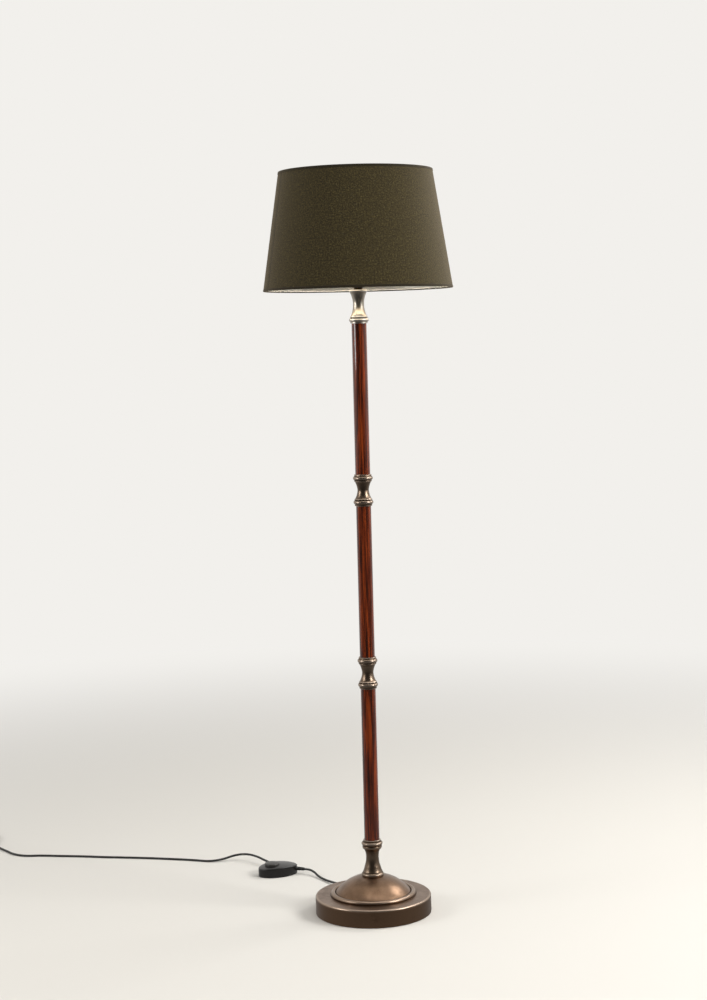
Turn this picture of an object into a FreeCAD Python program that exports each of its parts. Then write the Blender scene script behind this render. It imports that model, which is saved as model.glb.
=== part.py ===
"""Candlestick floor lamp: weighted base, three turned poles, couplings, shade, foot switch and cord."""
import FreeCAD, Part
import math
import os
from FreeCAD import Vector

# Driving dimensions, in millimetres. +Z is up, -Y faces the viewer, the origin is on the floor.

# Base
BASE_R = 123.0
BASE_DISC_TOP = 37.5
BASE_EDGE_R = 3.5
BASE_SKIRT_GAP = 1.0
SHELL_WALL = 1.6
MOULDING_R = 90.0
MOULDING_H = 8.0
DOME_R = 80.5
DOME_FOOT_Z = 42.5
DOME_TOP_Z = 77.0
DOME_FLAT_R = 21.0
DOME_FULLNESS = 6.0
FELT_H = 2.0
FELT_MARGIN = 6.0
PLATE_H = 1.5
PLATE_HOLE_R = 20.0
HUB_R = 30.0
RECESS_R = 24.0
RECESS_TOP_Z = 46.0
CHANNEL_W = 9.0
CHANNEL_TOP_Z = 17.0
PLATE_SCREW_PCD = 170.0
PLATE_SCREW_COUNT = 3
PLATE_SCREW_R = 2.0
PLATE_SCREW_HEAD_R = 4.0
PLATE_SCREW_L = 10.0

# Column
POLE_R = 16.0
POLE_EXPOSED = 322.0
POLE_COUNT = 3
SOCKET_DEPTH = 6.0
NECK_H = 76.6
COUPLING_H = 67.0
TOP_NECK_H = 72.0
COLLAR_R = 18.5
BEAD_R = 21.3
ROD_R = 5.0
ROD_BORE_R = 3.5
ROD_JOINT_GAP = 0.6
WASHER_R = 15.0
WASHER_H = 2.0
NUT_FLATS = 17.0
NUT_H = 8.0
ROD_TAIL = 3.0

# Lampholder and bulb
HOLDER_R = 20.0
HOLDER_WALL = 1.8
HOLDER_CAP_H = 20.0
HOLDER_SKIRT_H = 44.0
CORE_H = 14.0
RING_OUTER_R = 28.5
RING_H = 5.0
SHADE_SEAT_Z = 24.0
BULB_CAP_R = 13.2
BULB_CAP_H = 24.0
BULB_TIP_R = 4.8
BULB_TIP_H = 2.0
BULB_GLASS_R = 30.0
BULB_LENGTH = 105.0
BULB_NECK_R = 13.6

# Shade
SHADE_BOTTOM_R = 203.0
SHADE_TOP_R = 165.0
SHADE_H = 254.0
COVER_WALL = 0.7
LINING_WALL = 0.5
HOOP_WIRE_R = 1.7
BINDING_WALL = 0.6
BINDING_TAIL = 3.0
SEAM_W = 11.0
SEAM_H = 0.4
SEAM_ANGLE = 198.0
ARM_WIRE_R = 1.8
ARM_COUNT = 3
ARM_FIRST_ANGLE = -90.0
ARM_KNEE_R = 62.0
SPIDER_RING_R = 30.0
SPIDER_RING_H = 1.5

# Foot switch
SWITCH_X = -217.0
SWITCH_Y = 300.0
SWITCH_TURN = 24.0
SWITCH_A = 46.0
SWITCH_B = 30.0
SWITCH_H = 25.0
SWITCH_SPLIT_Z = 9.5
SWITCH_WALL = 2.0
SWITCH_CROWN_R = 170.0
SWITCH_EDGE_R = 2.5
SWITCH_FOOT_H = 1.0
SWITCH_FOOT_R = 5.0
BUTTON_R = 17.0
BUTTON_OFFSET = -14.0
BUTTON_PROUD = 5.0
BUTTON_TRAVEL = 3.0
BUTTON_WALL = 1.6
SWITCH_BLOCK_L = 26.0
SWITCH_BLOCK_W = 18.0
SWITCH_BLOCK_H = 5.0
SPRING_R = 5.0
SPRING_WIRE_R = 0.5
SPRING_TURNS = 4
SWITCH_SCREW_R = 1.4
SWITCH_SCREW_HEAD_R = 2.8
LEAD_PORT_ANGLE = -20.0
RUN_PORT_ANGLE = 112.0

# Cord
CORD_D = 5.0
CORD_STRAIGHT = 12.0
CORD_EXIT_Z = 12.0
FLOOR_LIFT = 0.05
RELIEF_L = 22.0
SWITCH_RELIEF_L = 20.0
RELIEF_ROOT_R = 4.6
RELIEF_TIP_R = 3.3
BUSHING_ANGLE = 112.0
COIL_X = -965.0
COIL_Y = 640.0
COIL_MEAN_R = 30.0
COIL_TURNS = 3
COIL_PITCH = 5.55
PLUG_L = 36.0
PLUG_W = 35.0
PLUG_T = 13.7
PLUG_PIN_R = 2.0
PLUG_PIN_L = 19.0
PLUG_PIN_SPACING = 19.0

# Clearances
RUNNING_CLEARANCE = 0.3
SEAT_CLEARANCE = 0.15
THREAD_CLEARANCE = 0.05
FIT_CLEARANCE = 0.1

# Levels that follow from the sizes above
NECK_TOP_Z = DOME_TOP_Z + NECK_H
COLUMN_TOP_Z = NECK_TOP_Z + POLE_COUNT * POLE_EXPOSED + (POLE_COUNT - 1) * COUPLING_H
HOLDER_Z = COLUMN_TOP_Z + TOP_NECK_H
SHADE_Z = HOLDER_Z - 0.3
ROD_END_Z = RECESS_TOP_Z - WASHER_H - NUT_H - ROD_TAIL
CORE_Z = HOLDER_Z + HOLDER_CAP_H
BULB_Z = CORE_Z + CORE_H + 4.0
PLATE_Z = FELT_H
WEIGHT_Z = PLATE_Z + PLATE_H
WEIGHT_R = BASE_R - SHELL_WALL - FIT_CLEARANCE
CORD_R = CORD_D / 2
CORD_FLOOR_Z = CORD_R + FLOOR_LIFT

os.makedirs("parts", exist_ok=True)


def save(name, shape):
    """Write one sub-part as its own STEP file."""
    if not shape.isValid():
        print("INVALID", name)
    shape.exportStep("parts/" + name + ".step")
    print(name, "solids", len(shape.Solids), "volume", round(shape.Volume, 1))


def cylinder(radius, height, x=0.0, y=0.0, z=0.0):
    return Part.makeCylinder(radius, height, Vector(x, y, z))


def tube(outer, inner, height, z=0.0):
    return cylinder(outer, height, z=z).cut(cylinder(inner, height, z=z))


def turned(segments):
    """Revolve a closed outline about Z. A segment is (r, z) or (r, z, mid_r, mid_z) for an arc."""
    points = [Vector(s[0], 0, s[1]) for s in segments]
    edges = []
    for i, segment in enumerate(segments):
        start = points[i - 1]
        end = points[i]
        if start.distanceToPoint(end) < 1e-6:
            continue
        if len(segment) == 4:
            edges.append(Part.Arc(start, Vector(segment[2], 0, segment[3]), end).toShape())
        else:
            edges.append(Part.LineSegment(start, end).toShape())
    face = Part.Face(Part.Wire(edges))
    solid = face.revolve(Vector(0, 0, 0), Vector(0, 0, 1), 360)
    return solid


def lifted(segments, z, flip=False):
    """Move an outline up to level z, upside down when flip is true."""
    sign = -1 if flip else 1
    moved = []
    for s in segments:
        moved.append((s[0], z + sign * s[1]) + ((s[2], z + sign * s[3]) if len(s) == 4 else ()))
    return moved


def polar(radius, degrees, z=0.0):
    angle = math.radians(degrees)
    return Vector(radius * math.cos(angle), radius * math.sin(angle), z)


# --- Base ---------------------------------------------------------------------------------------

def drum_outline(side, top, edge):
    """Drum side and rounded rim, from the axis out and back in to the flat margin."""
    bow = edge * (1 - math.sqrt(0.5))
    rim = (side - edge, top, side - bow, top - bow)
    return [(0, BASE_SKIRT_GAP), (side, BASE_SKIRT_GAP), (side, top - edge), rim]


def dome_outline(offset):
    """Dome from its foot up to the flat that carries the neck."""
    mid_r = (DOME_R + DOME_FLAT_R) / 2 + DOME_FULLNESS
    mid_z = DOME_FOOT_Z + (DOME_TOP_Z - DOME_FOOT_Z) * 0.62
    return [
        (DOME_FLAT_R, DOME_TOP_Z - offset, mid_r - offset, mid_z - offset),
        (0, DOME_TOP_Z - offset),
    ]


def base_shell():
    """Spun metal skin: drum side, flat margin, ovolo moulding and dome."""
    crest = ((MOULDING_R + DOME_R) / 2, BASE_DISC_TOP + MOULDING_H)
    moulding = [(MOULDING_R, BASE_DISC_TOP), (DOME_R, DOME_FOOT_Z) + crest]
    outside = turned(drum_outline(BASE_R, BASE_DISC_TOP, BASE_EDGE_R) + moulding + dome_outline(0.0))
    ceiling = BASE_DISC_TOP - SHELL_WALL
    step = [(DOME_R + SHELL_WALL, ceiling), (DOME_R - SHELL_WALL, DOME_FOOT_Z - SHELL_WALL)]
    skin = drum_outline(BASE_R - SHELL_WALL, ceiling, BASE_EDGE_R - SHELL_WALL)
    inside = turned(skin + step + dome_outline(SHELL_WALL))
    rod_hole = cylinder(ROD_R + FIT_CLEARANCE, 20, z=DOME_TOP_Z - 10)
    port = Part.makeCylinder(RELIEF_ROOT_R + FIT_CLEARANCE, 12, polar(BASE_R - 8, BUSHING_ANGLE, CORD_EXIT_Z),
                             polar(1, BUSHING_ANGLE))
    return outside.cut(inside).cut(rod_hole).cut(port)


def base_weight():
    """Cast iron slug with a hub that carries the neck through the skin."""
    top = BASE_DISC_TOP - SHELL_WALL - FIT_CLEARANCE
    hub_top = DOME_TOP_Z - SHELL_WALL - FIT_CLEARANCE
    body = cylinder(WEIGHT_R, top - WEIGHT_Z, z=WEIGHT_Z)
    body = body.makeChamfer(BASE_EDGE_R, [e for e in body.Edges if abs(e.BoundBox.ZMin - top) < 1e-6
                                          and abs(e.BoundBox.ZMax - top) < 1e-6])
    hub = Part.makeCone(HUB_R + 6, DOME_FLAT_R - 3, hub_top - top, Vector(0, 0, top))
    recess = cylinder(RECESS_R, RECESS_TOP_Z - WEIGHT_Z, z=WEIGHT_Z)
    rod_hole = cylinder(ROD_R + FIT_CLEARANCE, hub_top, z=WEIGHT_Z)
    channel = Part.makeBox(BASE_R, CHANNEL_W, CHANNEL_TOP_Z - WEIGHT_Z, Vector(0, -CHANNEL_W / 2, WEIGHT_Z))
    channel.rotate(Vector(0, 0, 0), Vector(0, 0, 1), BUSHING_ANGLE)
    body = body.fuse(hub).cut(recess).cut(rod_hole).cut(channel)
    for x, y in plate_screw_places():
        body = body.cut(cylinder(PLATE_SCREW_R + THREAD_CLEARANCE, PLATE_SCREW_L, x, y, WEIGHT_Z))
    pocket = Part.makeCylinder(RELIEF_ROOT_R + 2, RELIEF_ROOT_R + 6,
                               polar(WEIGHT_R - 8, BUSHING_ANGLE, CORD_EXIT_Z), polar(1, BUSHING_ANGLE))
    return body.cut(pocket).removeSplitter()


def plate_screw_places():
    places = []
    for i in range(PLATE_SCREW_COUNT):
        place = polar(PLATE_SCREW_PCD / 2, 30 + 360 * i / PLATE_SCREW_COUNT)
        places.append((place.x, place.y))
    return places


def base_plate():
    """Steel plate that closes the underside."""
    plate = tube(WEIGHT_R, PLATE_HOLE_R, PLATE_H, PLATE_Z)
    for x, y in plate_screw_places():
        sink = Part.makeCone(PLATE_SCREW_HEAD_R + FIT_CLEARANCE, PLATE_SCREW_R + FIT_CLEARANCE, PLATE_H,
                             Vector(x, y, PLATE_Z))
        plate = plate.cut(sink)
    return plate


def plate_screws():
    screws = []
    for x, y in plate_screw_places():
        head = Part.makeCone(PLATE_SCREW_HEAD_R, PLATE_SCREW_R, PLATE_H, Vector(x, y, PLATE_Z))
        shank = cylinder(PLATE_SCREW_R, PLATE_SCREW_L - 1, x, y, PLATE_Z + PLATE_H)
        screws.append(head.fuse(shank).removeSplitter())
    return Part.makeCompound(screws)


def hex_nut(flats, height, bore, z):
    corner = flats / math.sqrt(3)
    points = [polar(corner, 60 * i, z) for i in range(7)]
    prism = Part.Face(Part.makePolygon(points)).extrude(Vector(0, 0, height))
    return prism.cut(cylinder(bore, height, z=z))


# --- Column -------------------------------------------------------------------------------------

def end_moulding(waist_r, depth):
    """Half of a coupling, from its pole end (0) down to its waist: collar, bead, step and cove."""
    return [
        (0, 0),
        (COLLAR_R, 0),
        (COLLAR_R, 3.6),
        (COLLAR_R + 0.4, 4.0),
        (COLLAR_R + 0.4, 11.8, BEAD_R, 7.9),
        (COLLAR_R - 0.3, 12.4),
        (COLLAR_R + 0.1, 14.6, COLLAR_R + 0.6, 13.5),
        (COLLAR_R - 1.6, 16.4),
        (waist_r, depth, waist_r + 1.4, 16.4 + (depth - 16.4) * 0.52),
        (0, depth),
    ]


def bored_column_piece(solid, bottom, top, sockets):
    """Bore a turned piece for the rod and sink the pole sockets at the levels given."""
    solid = solid.cut(cylinder(ROD_R + THREAD_CLEARANCE, top - bottom, z=bottom))
    for level, direction in sockets:
        start = level if direction > 0 else level - SOCKET_DEPTH
        solid = solid.cut(cylinder(POLE_R + FIT_CLEARANCE, SOCKET_DEPTH, z=start))
    return solid


def coupling(bottom):
    """Cast metal spool between two poles."""
    half = COUPLING_H / 2
    waist = 12.1
    lower = turned(lifted(end_moulding(waist, half), bottom))
    upper = turned(lifted(end_moulding(waist, half), bottom + COUPLING_H, flip=True))
    whole = lower.fuse(upper).removeSplitter()
    ends = [(bottom, 1), (bottom + COUPLING_H, -1)]
    return bored_column_piece(whole, bottom, bottom + COUPLING_H, ends)


def base_neck():
    """Turned metal neck between the dome and the first pole."""
    z = DOME_TOP_Z
    top = NECK_TOP_Z
    outline = [
        (0, z),
        (22.6, z),
        (22.9, z + 0.6),
        (22.4, z + 6.2, 23.8, z + 3.2),
        (21.0, z + 7.4),
        (20.9, z + 9.0),
        (17.2, z + 19.2, 18.5, z + 14.6),
        (13.5, z + 40.0, 14.3, z + 29.5),
        (16.3, top - 21.6, 14.2, top - 29.0),
        (19.6, top - 18.4),
        (19.8, top - 12.6, 20.8, top - 15.5),
        (20.2, top - 11.6),
        (20.2, top - 4.2, 22.5, top - 7.9),
        (COLLAR_R, top - 3.4),
        (COLLAR_R, top),
        (0, top),
    ]
    return bored_column_piece(turned(outline), z, top, [(top, -1)])


def top_neck():
    """Turned metal cup that carries the lampholder over the last pole."""
    z = COLUMN_TOP_Z
    top = HOLDER_Z
    outline = [
        (0, z),
        (COLLAR_R, z),
        (COLLAR_R, z + 3.2),
        (COLLAR_R + 0.4, z + 3.6),
        (COLLAR_R + 0.4, z + 10.6, BEAD_R, z + 7.1),
        (COLLAR_R - 0.4, z + 11.6),
        (18.2, z + 14.8, 18.8, z + 13.2),
        (16.6, z + 16.8),
        (11.9, z + 40.0, 13.2, z + 27.0),
        (16.0, top - 10.0, 13.0, top - 20.0),
        (17.8, top - 6.0),
        (18.6, top - 5.0),
        (18.8, top - 0.5, 20.2, top - 2.6),
        (16.0, top),
        (0, top),
    ]
    return bored_column_piece(turned(outline), z, top, [(z, 1)])


def pole(bottom):
    """Turned hardwood pole, seated in the sockets at both ends."""
    start = bottom - SOCKET_DEPTH
    length = POLE_EXPOSED + 2 * SOCKET_DEPTH
    body = cylinder(POLE_R, length, z=start)
    return body.cut(cylinder(ROD_R + RUNNING_CLEARANCE, length, z=start))


def pole_level(i):
    return NECK_TOP_Z + i * (POLE_EXPOSED + COUPLING_H)


def rod(bottom, top):
    return tube(ROD_R, ROD_BORE_R, top - bottom, bottom)


# --- Lampholder and bulb ------------------------------------------------------------------------

def lampholder_cap():
    """Metal cap, screwed on the end of the rod."""
    z = HOLDER_Z
    top = z + HOLDER_CAP_H
    wall = HOLDER_WALL
    outer = [(0, z), (9.5, z), (9.5, z + 4), (HOLDER_R, z + 14, 17.2, z + 6.8), (HOLDER_R, top), (0, top)]
    inner = [(0, z + wall), (9.0, z + wall), (9.0, z + 5.5), (HOLDER_R - wall, z + 15, 15.6, z + 8.4),
             (HOLDER_R - wall, top), (0, top)]
    cap = turned(outer).cut(turned(inner))
    boss = cylinder(8.6, 9.0, z=z)
    return cap.fuse(boss).cut(cylinder(ROD_R + THREAD_CLEARANCE, 30, z=z)).removeSplitter()


def lampholder_skirt():
    """Moulded skirt round the bulb cap, with a shoulder for the shade rings."""
    body = tube(HOLDER_R, BULB_CAP_R + 1.6, HOLDER_SKIRT_H, CORE_Z)
    pocket = cylinder(HOLDER_R - HOLDER_WALL, CORE_H, z=CORE_Z)
    body = body.cut(pocket)
    lip = [e for e in body.Edges if abs(e.BoundBox.ZMin - CORE_Z - HOLDER_SKIRT_H) < 1e-6]
    return body.makeChamfer(0.6, lip)


def lampholder_core():
    """Ceramic block that carries the contacts."""
    body = cylinder(HOLDER_R - HOLDER_WALL - FIT_CLEARANCE, CORE_H, z=CORE_Z)
    for x in (-9.0, 9.0):
        body = body.cut(cylinder(2.1, 6, x, 0, CORE_Z))
    return body.cut(cylinder(4.0, 9, z=CORE_Z))


def lampholder_contacts():
    """Sprung brass strips under the bulb and beside its thread."""
    top = CORE_Z + CORE_H
    centre_foot = Part.makeBox(7, 5, 0.6, Vector(-9, -2.5, top))
    centre_leaf = Part.makeBox(7.5, 5, 0.6, Vector(-3.8, -2.5, BULB_Z - 1.2))
    riser = Part.makeBox(0.6, 5, BULB_Z - 0.6 - top, Vector(-3.8, -2.5, top))
    centre = centre_foot.fuse(centre_leaf).fuse(riser).removeSplitter()
    leaf_x = BULB_CAP_R + RUNNING_CLEARANCE
    side_foot = Part.makeBox(leaf_x - 9.4, 6, 0.6, Vector(9.4, -3, top))
    side_leaf = Part.makeBox(0.6, 6, 12, Vector(leaf_x, -3, top))
    side = side_foot.fuse(side_leaf).removeSplitter()
    return Part.makeCompound([centre, side])


def terminal_screws():
    screws = []
    for x in (-9.0, 9.0):
        body = cylinder(2.0, 5, x, 0, CORE_Z + 1)
        slot = Part.makeBox(5, 0.6, 1, Vector(x - 2.5, -0.3, CORE_Z + 1))
        screws.append(body.cut(slot))
    return Part.makeCompound(screws)


def shade_ring(z):
    """Threaded ring that clamps the shade's carrier."""
    ring = tube(RING_OUTER_R, HOLDER_R + THREAD_CLEARANCE, RING_H, z)
    for i in range(12):
        place = polar(RING_OUTER_R + 0.8, i * 30)
        ring = ring.cut(cylinder(1.8, RING_H, place.x, place.y, z))
    return ring


def bulb_cap():
    """Rolled screw shell: a sleeve with rounded threads drawn as rings."""
    z = BULB_Z + BULB_TIP_H + 2.0
    top = z + BULB_CAP_H - 4.0
    ridge = 0.7
    outline = [(BULB_CAP_R - 3.2, z), (BULB_CAP_R - ridge, z)]
    turns = 5
    pitch = (top - z - 3) / turns
    for i in range(turns):
        low = z + 1 + i * pitch
        outline.append((BULB_CAP_R - ridge, low))
        outline.append((BULB_CAP_R - ridge, low + pitch * 0.8, BULB_CAP_R, low + pitch * 0.4))
    outline.append((BULB_CAP_R - ridge, top))
    outline.append((BULB_CAP_R - 3.2, top))
    return turned(outline)


def bulb_insulator():
    """Black glass ring between the screw shell and the tip."""
    low = BULB_Z + 1.0
    high = BULB_Z + BULB_TIP_H + 2.0
    body = turned([(0, low), (BULB_TIP_R + 1.2, low), (BULB_CAP_R - 1.2, high), (0, high)])
    return body.cut(cylinder(BULB_TIP_R + FIT_CLEARANCE, BULB_TIP_H + 1.0, z=BULB_Z))


def bulb_tip():
    low = BULB_Z
    high = BULB_Z + BULB_TIP_H + 0.9
    return turned([(0, low), (BULB_TIP_R - 1.6, low), (BULB_TIP_R, low + 1.2, BULB_TIP_R - 0.5, low + 0.4),
                   (BULB_TIP_R, high), (0, high)])


def bulb_glass():
    """Pear-shaped envelope, hollow."""
    foot = BULB_Z + BULB_TIP_H + BULB_CAP_H - 2.0
    crown = BULB_Z + BULB_LENGTH
    centre = crown - BULB_GLASS_R
    root = foot - 4.0

    def outline(wall):
        ball = BULB_GLASS_R - wall
        join_r = ball * math.cos(math.radians(30))
        join_z = centre - ball * math.sin(math.radians(30))
        neck = BULB_NECK_R - wall
        slim = BULB_CAP_R - 3.3 - wall
        return [
            (0, root + wall),
            (slim, root + wall),
            (slim, foot + wall),
            (neck, foot + 1.5 + wall),
            (join_r, join_z, (neck + join_r) / 2 - 2.5, (foot + join_z) / 2 + 1.5),
            (0, crown - wall, ball * math.cos(math.radians(25)), centre + ball * math.sin(math.radians(25))),
        ]

    return turned(outline(0.0)).cut(turned(outline(1.0)))


# --- Shade --------------------------------------------------------------------------------------

def shade_radius(z):
    """Outside radius of the fabric cone at level z, inside the bindings."""
    share = (z - SHADE_Z) / SHADE_H
    return SHADE_BOTTOM_R + (SHADE_TOP_R - SHADE_BOTTOM_R) * share - BINDING_WALL


def cone_wall(outer_offset, inner_offset, low, high, angle=360.0):
    a = Vector(shade_radius(low) - outer_offset, 0, low)
    b = Vector(shade_radius(high) - outer_offset, 0, high)
    c = Vector(shade_radius(high) - inner_offset, 0, high)
    e = Vector(shade_radius(low) - inner_offset, 0, low)
    face = Part.Face(Part.makePolygon([a, b, c, e, a]))
    return face.revolve(Vector(0, 0, 0), Vector(0, 0, 1), angle)


def hoop_place(level, side):
    """Radius and height of a wire hoop; side is 1 at the bottom and -1 at the top."""
    z = level + side * (HOOP_WIRE_R + BINDING_WALL)
    radius = shade_radius(z) - COVER_WALL - LINING_WALL - HOOP_WIRE_R - 0.12
    return radius, z


def hoop(level, side):
    radius, z = hoop_place(level, side)
    return Part.makeTorus(radius, HOOP_WIRE_R, Vector(0, 0, z), Vector(0, 0, 1))


def binding(level, side):
    """Fabric strip folded under the hoop and over the edge of the cone, in short flats."""
    radius, z = hoop_place(level, side)
    wrap_r = HOOP_WIRE_R + BINDING_WALL
    seat_r = HOOP_WIRE_R + FIT_CLEARANCE
    edge = z - side * wrap_r
    cone_end = edge + side * BINDING_WALL
    tail = z + side * BINDING_TAIL
    outer = shade_radius(z) + BINDING_WALL
    corner = 1.1

    def around(reach, degrees):
        angle = math.radians(degrees)
        return (radius - reach * math.cos(angle), z - side * reach * math.sin(angle))

    return turned([
        around(wrap_r, 45),
        around(wrap_r, 67.5),
        around(wrap_r, 90),
        (outer - corner, edge),
        (outer, edge + side * corner),
        (shade_radius(tail) + BINDING_WALL, tail),
        (shade_radius(tail), tail),
        (shade_radius(cone_end), cone_end),
        (shade_radius(cone_end) - COVER_WALL - LINING_WALL, cone_end),
        around(seat_r, 90),
        around(seat_r, 67.5),
        around(seat_r, 45),
    ])


def shade_spider():
    """Carrier ring with bent wire arms that end against the bottom hoop."""
    ring_z = HOLDER_Z + SHADE_SEAT_Z + RING_H + SEAT_CLEARANCE
    ring = tube(SPIDER_RING_R, HOLDER_R + RUNNING_CLEARANCE, SPIDER_RING_H, ring_z)
    hoop_r, hoop_z = hoop_place(SHADE_Z, 1)
    wire_z = ring_z + SPIDER_RING_H / 2
    body = ring
    for i in range(ARM_COUNT):
        start = Vector(SPIDER_RING_R - 1.5, 0, wire_z)
        knee = Vector(ARM_KNEE_R, 0, wire_z)
        end = Vector(hoop_r, 0, hoop_z)
        path = bent_path([start, knee, end])
        arm = swept(path, ARM_WIRE_R)
        arm.rotate(Vector(0, 0, 0), Vector(0, 0, 1), ARM_FIRST_ANGLE + 360 * i / ARM_COUNT)
        body = body.fuse(arm)
    groove = Part.makeTorus(hoop_r, HOOP_WIRE_R + THREAD_CLEARANCE, Vector(0, 0, hoop_z), Vector(0, 0, 1))
    outside = tube(hoop_r + 20, hoop_r, 40, hoop_z - 20)
    bore = cylinder(HOLDER_R + RUNNING_CLEARANCE, 20, z=ring_z - 10)
    flat_top = tube(SPIDER_RING_R - 1.4, 1.0, 10, ring_z + SPIDER_RING_H)
    flat_foot = tube(SPIDER_RING_R - 1.4, 1.0, 10, ring_z - 10)
    return body.cut(groove).cut(outside).cut(bore).cut(flat_top).cut(flat_foot).removeSplitter()


# --- Cord ---------------------------------------------------------------------------------------

def arc_edge(start, corner, end):
    """Arc that leaves start and reaches end along the lines through corner."""
    middle = (start + end) * 0.5
    rise = (corner - middle).Length
    half = start.distanceToPoint(end) / 2
    sagitta = half * math.tan(math.atan2(rise, half) / 2)
    crest = middle + (corner - middle).normalize() * sagitta
    return Part.Arc(start, crest, end).toShape()


def bent_path(points, report=None):
    """Straight runs joined by tangent arcs, each as large as its two runs allow."""
    edges = []
    last = points[0]
    radii = []
    for before, corner, after in zip(points, points[1:], points[2:]):
        into = corner - before
        out = after - corner
        reach = 0.45 * min(into.Length, out.Length)
        half_turn = into.getAngle(out) / 2
        radii.append(reach / math.tan(half_turn))
        start = corner - into.normalize() * reach
        end = corner + out.normalize() * reach
        edges.append(Part.LineSegment(last, start).toShape())
        edges.append(arc_edge(start, corner, end))
        last = end
    edges.append(Part.LineSegment(last, points[-1]).toShape())
    if report:
        print(report, "least radius", round(min(radii), 1), "all", [round(r) for r in radii])
    return Part.Wire(edges)


def swept(path, radius):
    """Round bar along a path that starts straight."""
    first = path.Edges[0]
    start = first.valueAt(first.FirstParameter)
    heading = first.tangentAt(first.FirstParameter)
    circle = Part.Wire(Part.Circle(start, heading, radius).toShape())
    shell = Part.BRepOffsetAPI.MakePipeShell(path)
    shell.add(circle)
    shell.build()
    shell.makeSolid()
    return shell.shape()


def cord_tube(name, path):
    body = swept(path, CORD_R)
    expected = math.pi * CORD_R ** 2 * path.Length
    print(name, "length", round(path.Length, 1), "volume share", round(body.Volume / expected, 4))
    return body


def switch_point(along, across, z):
    """Place a point of the foot switch's own frame on the floor."""
    turn = math.radians(SWITCH_TURN)
    x = SWITCH_X + along * math.cos(turn) - across * math.sin(turn)
    y = SWITCH_Y + along * math.sin(turn) + across * math.cos(turn)
    return Vector(x, y, z)


def switch_port(angle):
    """Point on the switch's oval wall that faces the given direction."""
    local = math.radians(angle - SWITCH_TURN)
    spread = math.atan2(SWITCH_B * math.sin(local), SWITCH_A * math.cos(local))
    return switch_point(SWITCH_A * math.cos(spread), SWITCH_B * math.sin(spread), CORD_EXIT_Z)


def relief(root, angle, length, inset):
    """Tapered rubber guard that points away from the wall, with ribs cut round it."""
    direction = polar(1, angle)
    start = root - direction * inset
    plug = Part.makeCylinder(RELIEF_ROOT_R, inset, start, direction)
    taper = Part.makeCone(RELIEF_ROOT_R, RELIEF_TIP_R, length, root, direction)
    body = plug.fuse(taper)
    for i in range(4):
        place = root + direction * (2.5 + i * (length - 6) / 4)
        slot = Part.makeCylinder(RELIEF_ROOT_R + 1, 1.4, place, direction)
        core = Part.makeCylinder(RELIEF_TIP_R - 0.4, 1.4, place, direction)
        body = body.cut(slot.cut(core))
    return body


def inner_flex_path():
    bend = 20.0
    outer = polar(BASE_R - 8, BUSHING_ANGLE, CORD_EXIT_Z)
    start = polar(bend, BUSHING_ANGLE, CORD_EXIT_Z)
    corner = Vector(0, 0, CORD_EXIT_Z)
    end = Vector(0, 0, CORD_EXIT_Z + bend)
    top = Vector(0, 0, HOLDER_Z + 8)
    edges = [Part.LineSegment(outer, start).toShape(), arc_edge(start, corner, end),
             Part.LineSegment(end, top).toShape()]
    return Part.Wire(edges)


def lead_points():
    """Route from the base's bushing to the foot switch."""
    start = polar(BASE_R + RELIEF_L, BUSHING_ANGLE, CORD_EXIT_Z)
    end = switch_port(LEAD_PORT_ANGLE) + polar(1, LEAD_PORT_ANGLE) * SWITCH_RELIEF_L
    return [
        start,
        start + polar(1, BUSHING_ANGLE) * CORD_STRAIGHT,
        Vector(-67, 164, 10.2),
        Vector(-79, 190, 6.6),
        Vector(-97, 217, 4),
        Vector(-114, 243, 3.2),
        Vector(-126, 266, 4.8),
        Vector(-133, 279.5, 8.8),
        end + polar(1, LEAD_PORT_ANGLE) * CORD_STRAIGHT,
        end,
    ]


def run_points():
    """Route along the floor from the foot switch to the coil."""
    start = switch_port(RUN_PORT_ANGLE) + polar(1, RUN_PORT_ANGLE) * SWITCH_RELIEF_L
    floor = CORD_FLOOR_Z
    coil_start, heading = point_and_heading(coil_place, 0.0)
    return [
        start,
        start + polar(1, RUN_PORT_ANGLE) * CORD_STRAIGHT,
        Vector(-251, 373, 13.2),
        Vector(-269, 396, 16),
        Vector(-293, 417, 17),
        Vector(-322, 427, 13),
        Vector(-350, 417, 6),
        Vector(-382, 413, floor),
        Vector(-424, 430, floor),
        Vector(-478, 444, floor),
        Vector(-535, 457, floor),
        Vector(-590, 467, floor),
        Vector(-640, 475, floor),
        Vector(-692, 487, floor),
        Vector(-743, 494, floor),
        Vector(-795, 504, floor),
        Vector(-831, 502, floor),
        Vector(-862, 520, floor),
        Vector(-884, 551, floor),
        Vector(-906, 579, floor),
        Vector(-917, 599, floor),
        coil_start - heading * CORD_D * 4,
        coil_start - heading * CORD_D,
    ]


def smooth(share):
    share = min(max(share, 0.0), 1.0)
    return share * share * (3 - 2 * share)


def coil_place(t):
    """Point on the coil's centreline after t turns: in, up one layer, and out."""
    swing = 0.25
    offset = t - COIL_TURNS
    if abs(offset) < swing:
        inward = (offset * offset / swing + swing) / 2
    else:
        inward = abs(offset)
    radius = COIL_MEAN_R + COIL_PITCH * (inward - COIL_TURNS / 2)
    climb = smooth((offset + swing) / (2 * swing))
    angle = 2 * math.pi * t
    x = COIL_X + radius * math.cos(angle)
    y = COIL_Y + radius * math.sin(angle)
    return Vector(x, y, CORD_FLOOR_Z + COIL_PITCH * climb)


def point_and_heading(place, turn):
    step = 1e-4
    heading = (place(turn + step) - place(turn - step)).normalize()
    return place(turn), heading


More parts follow.
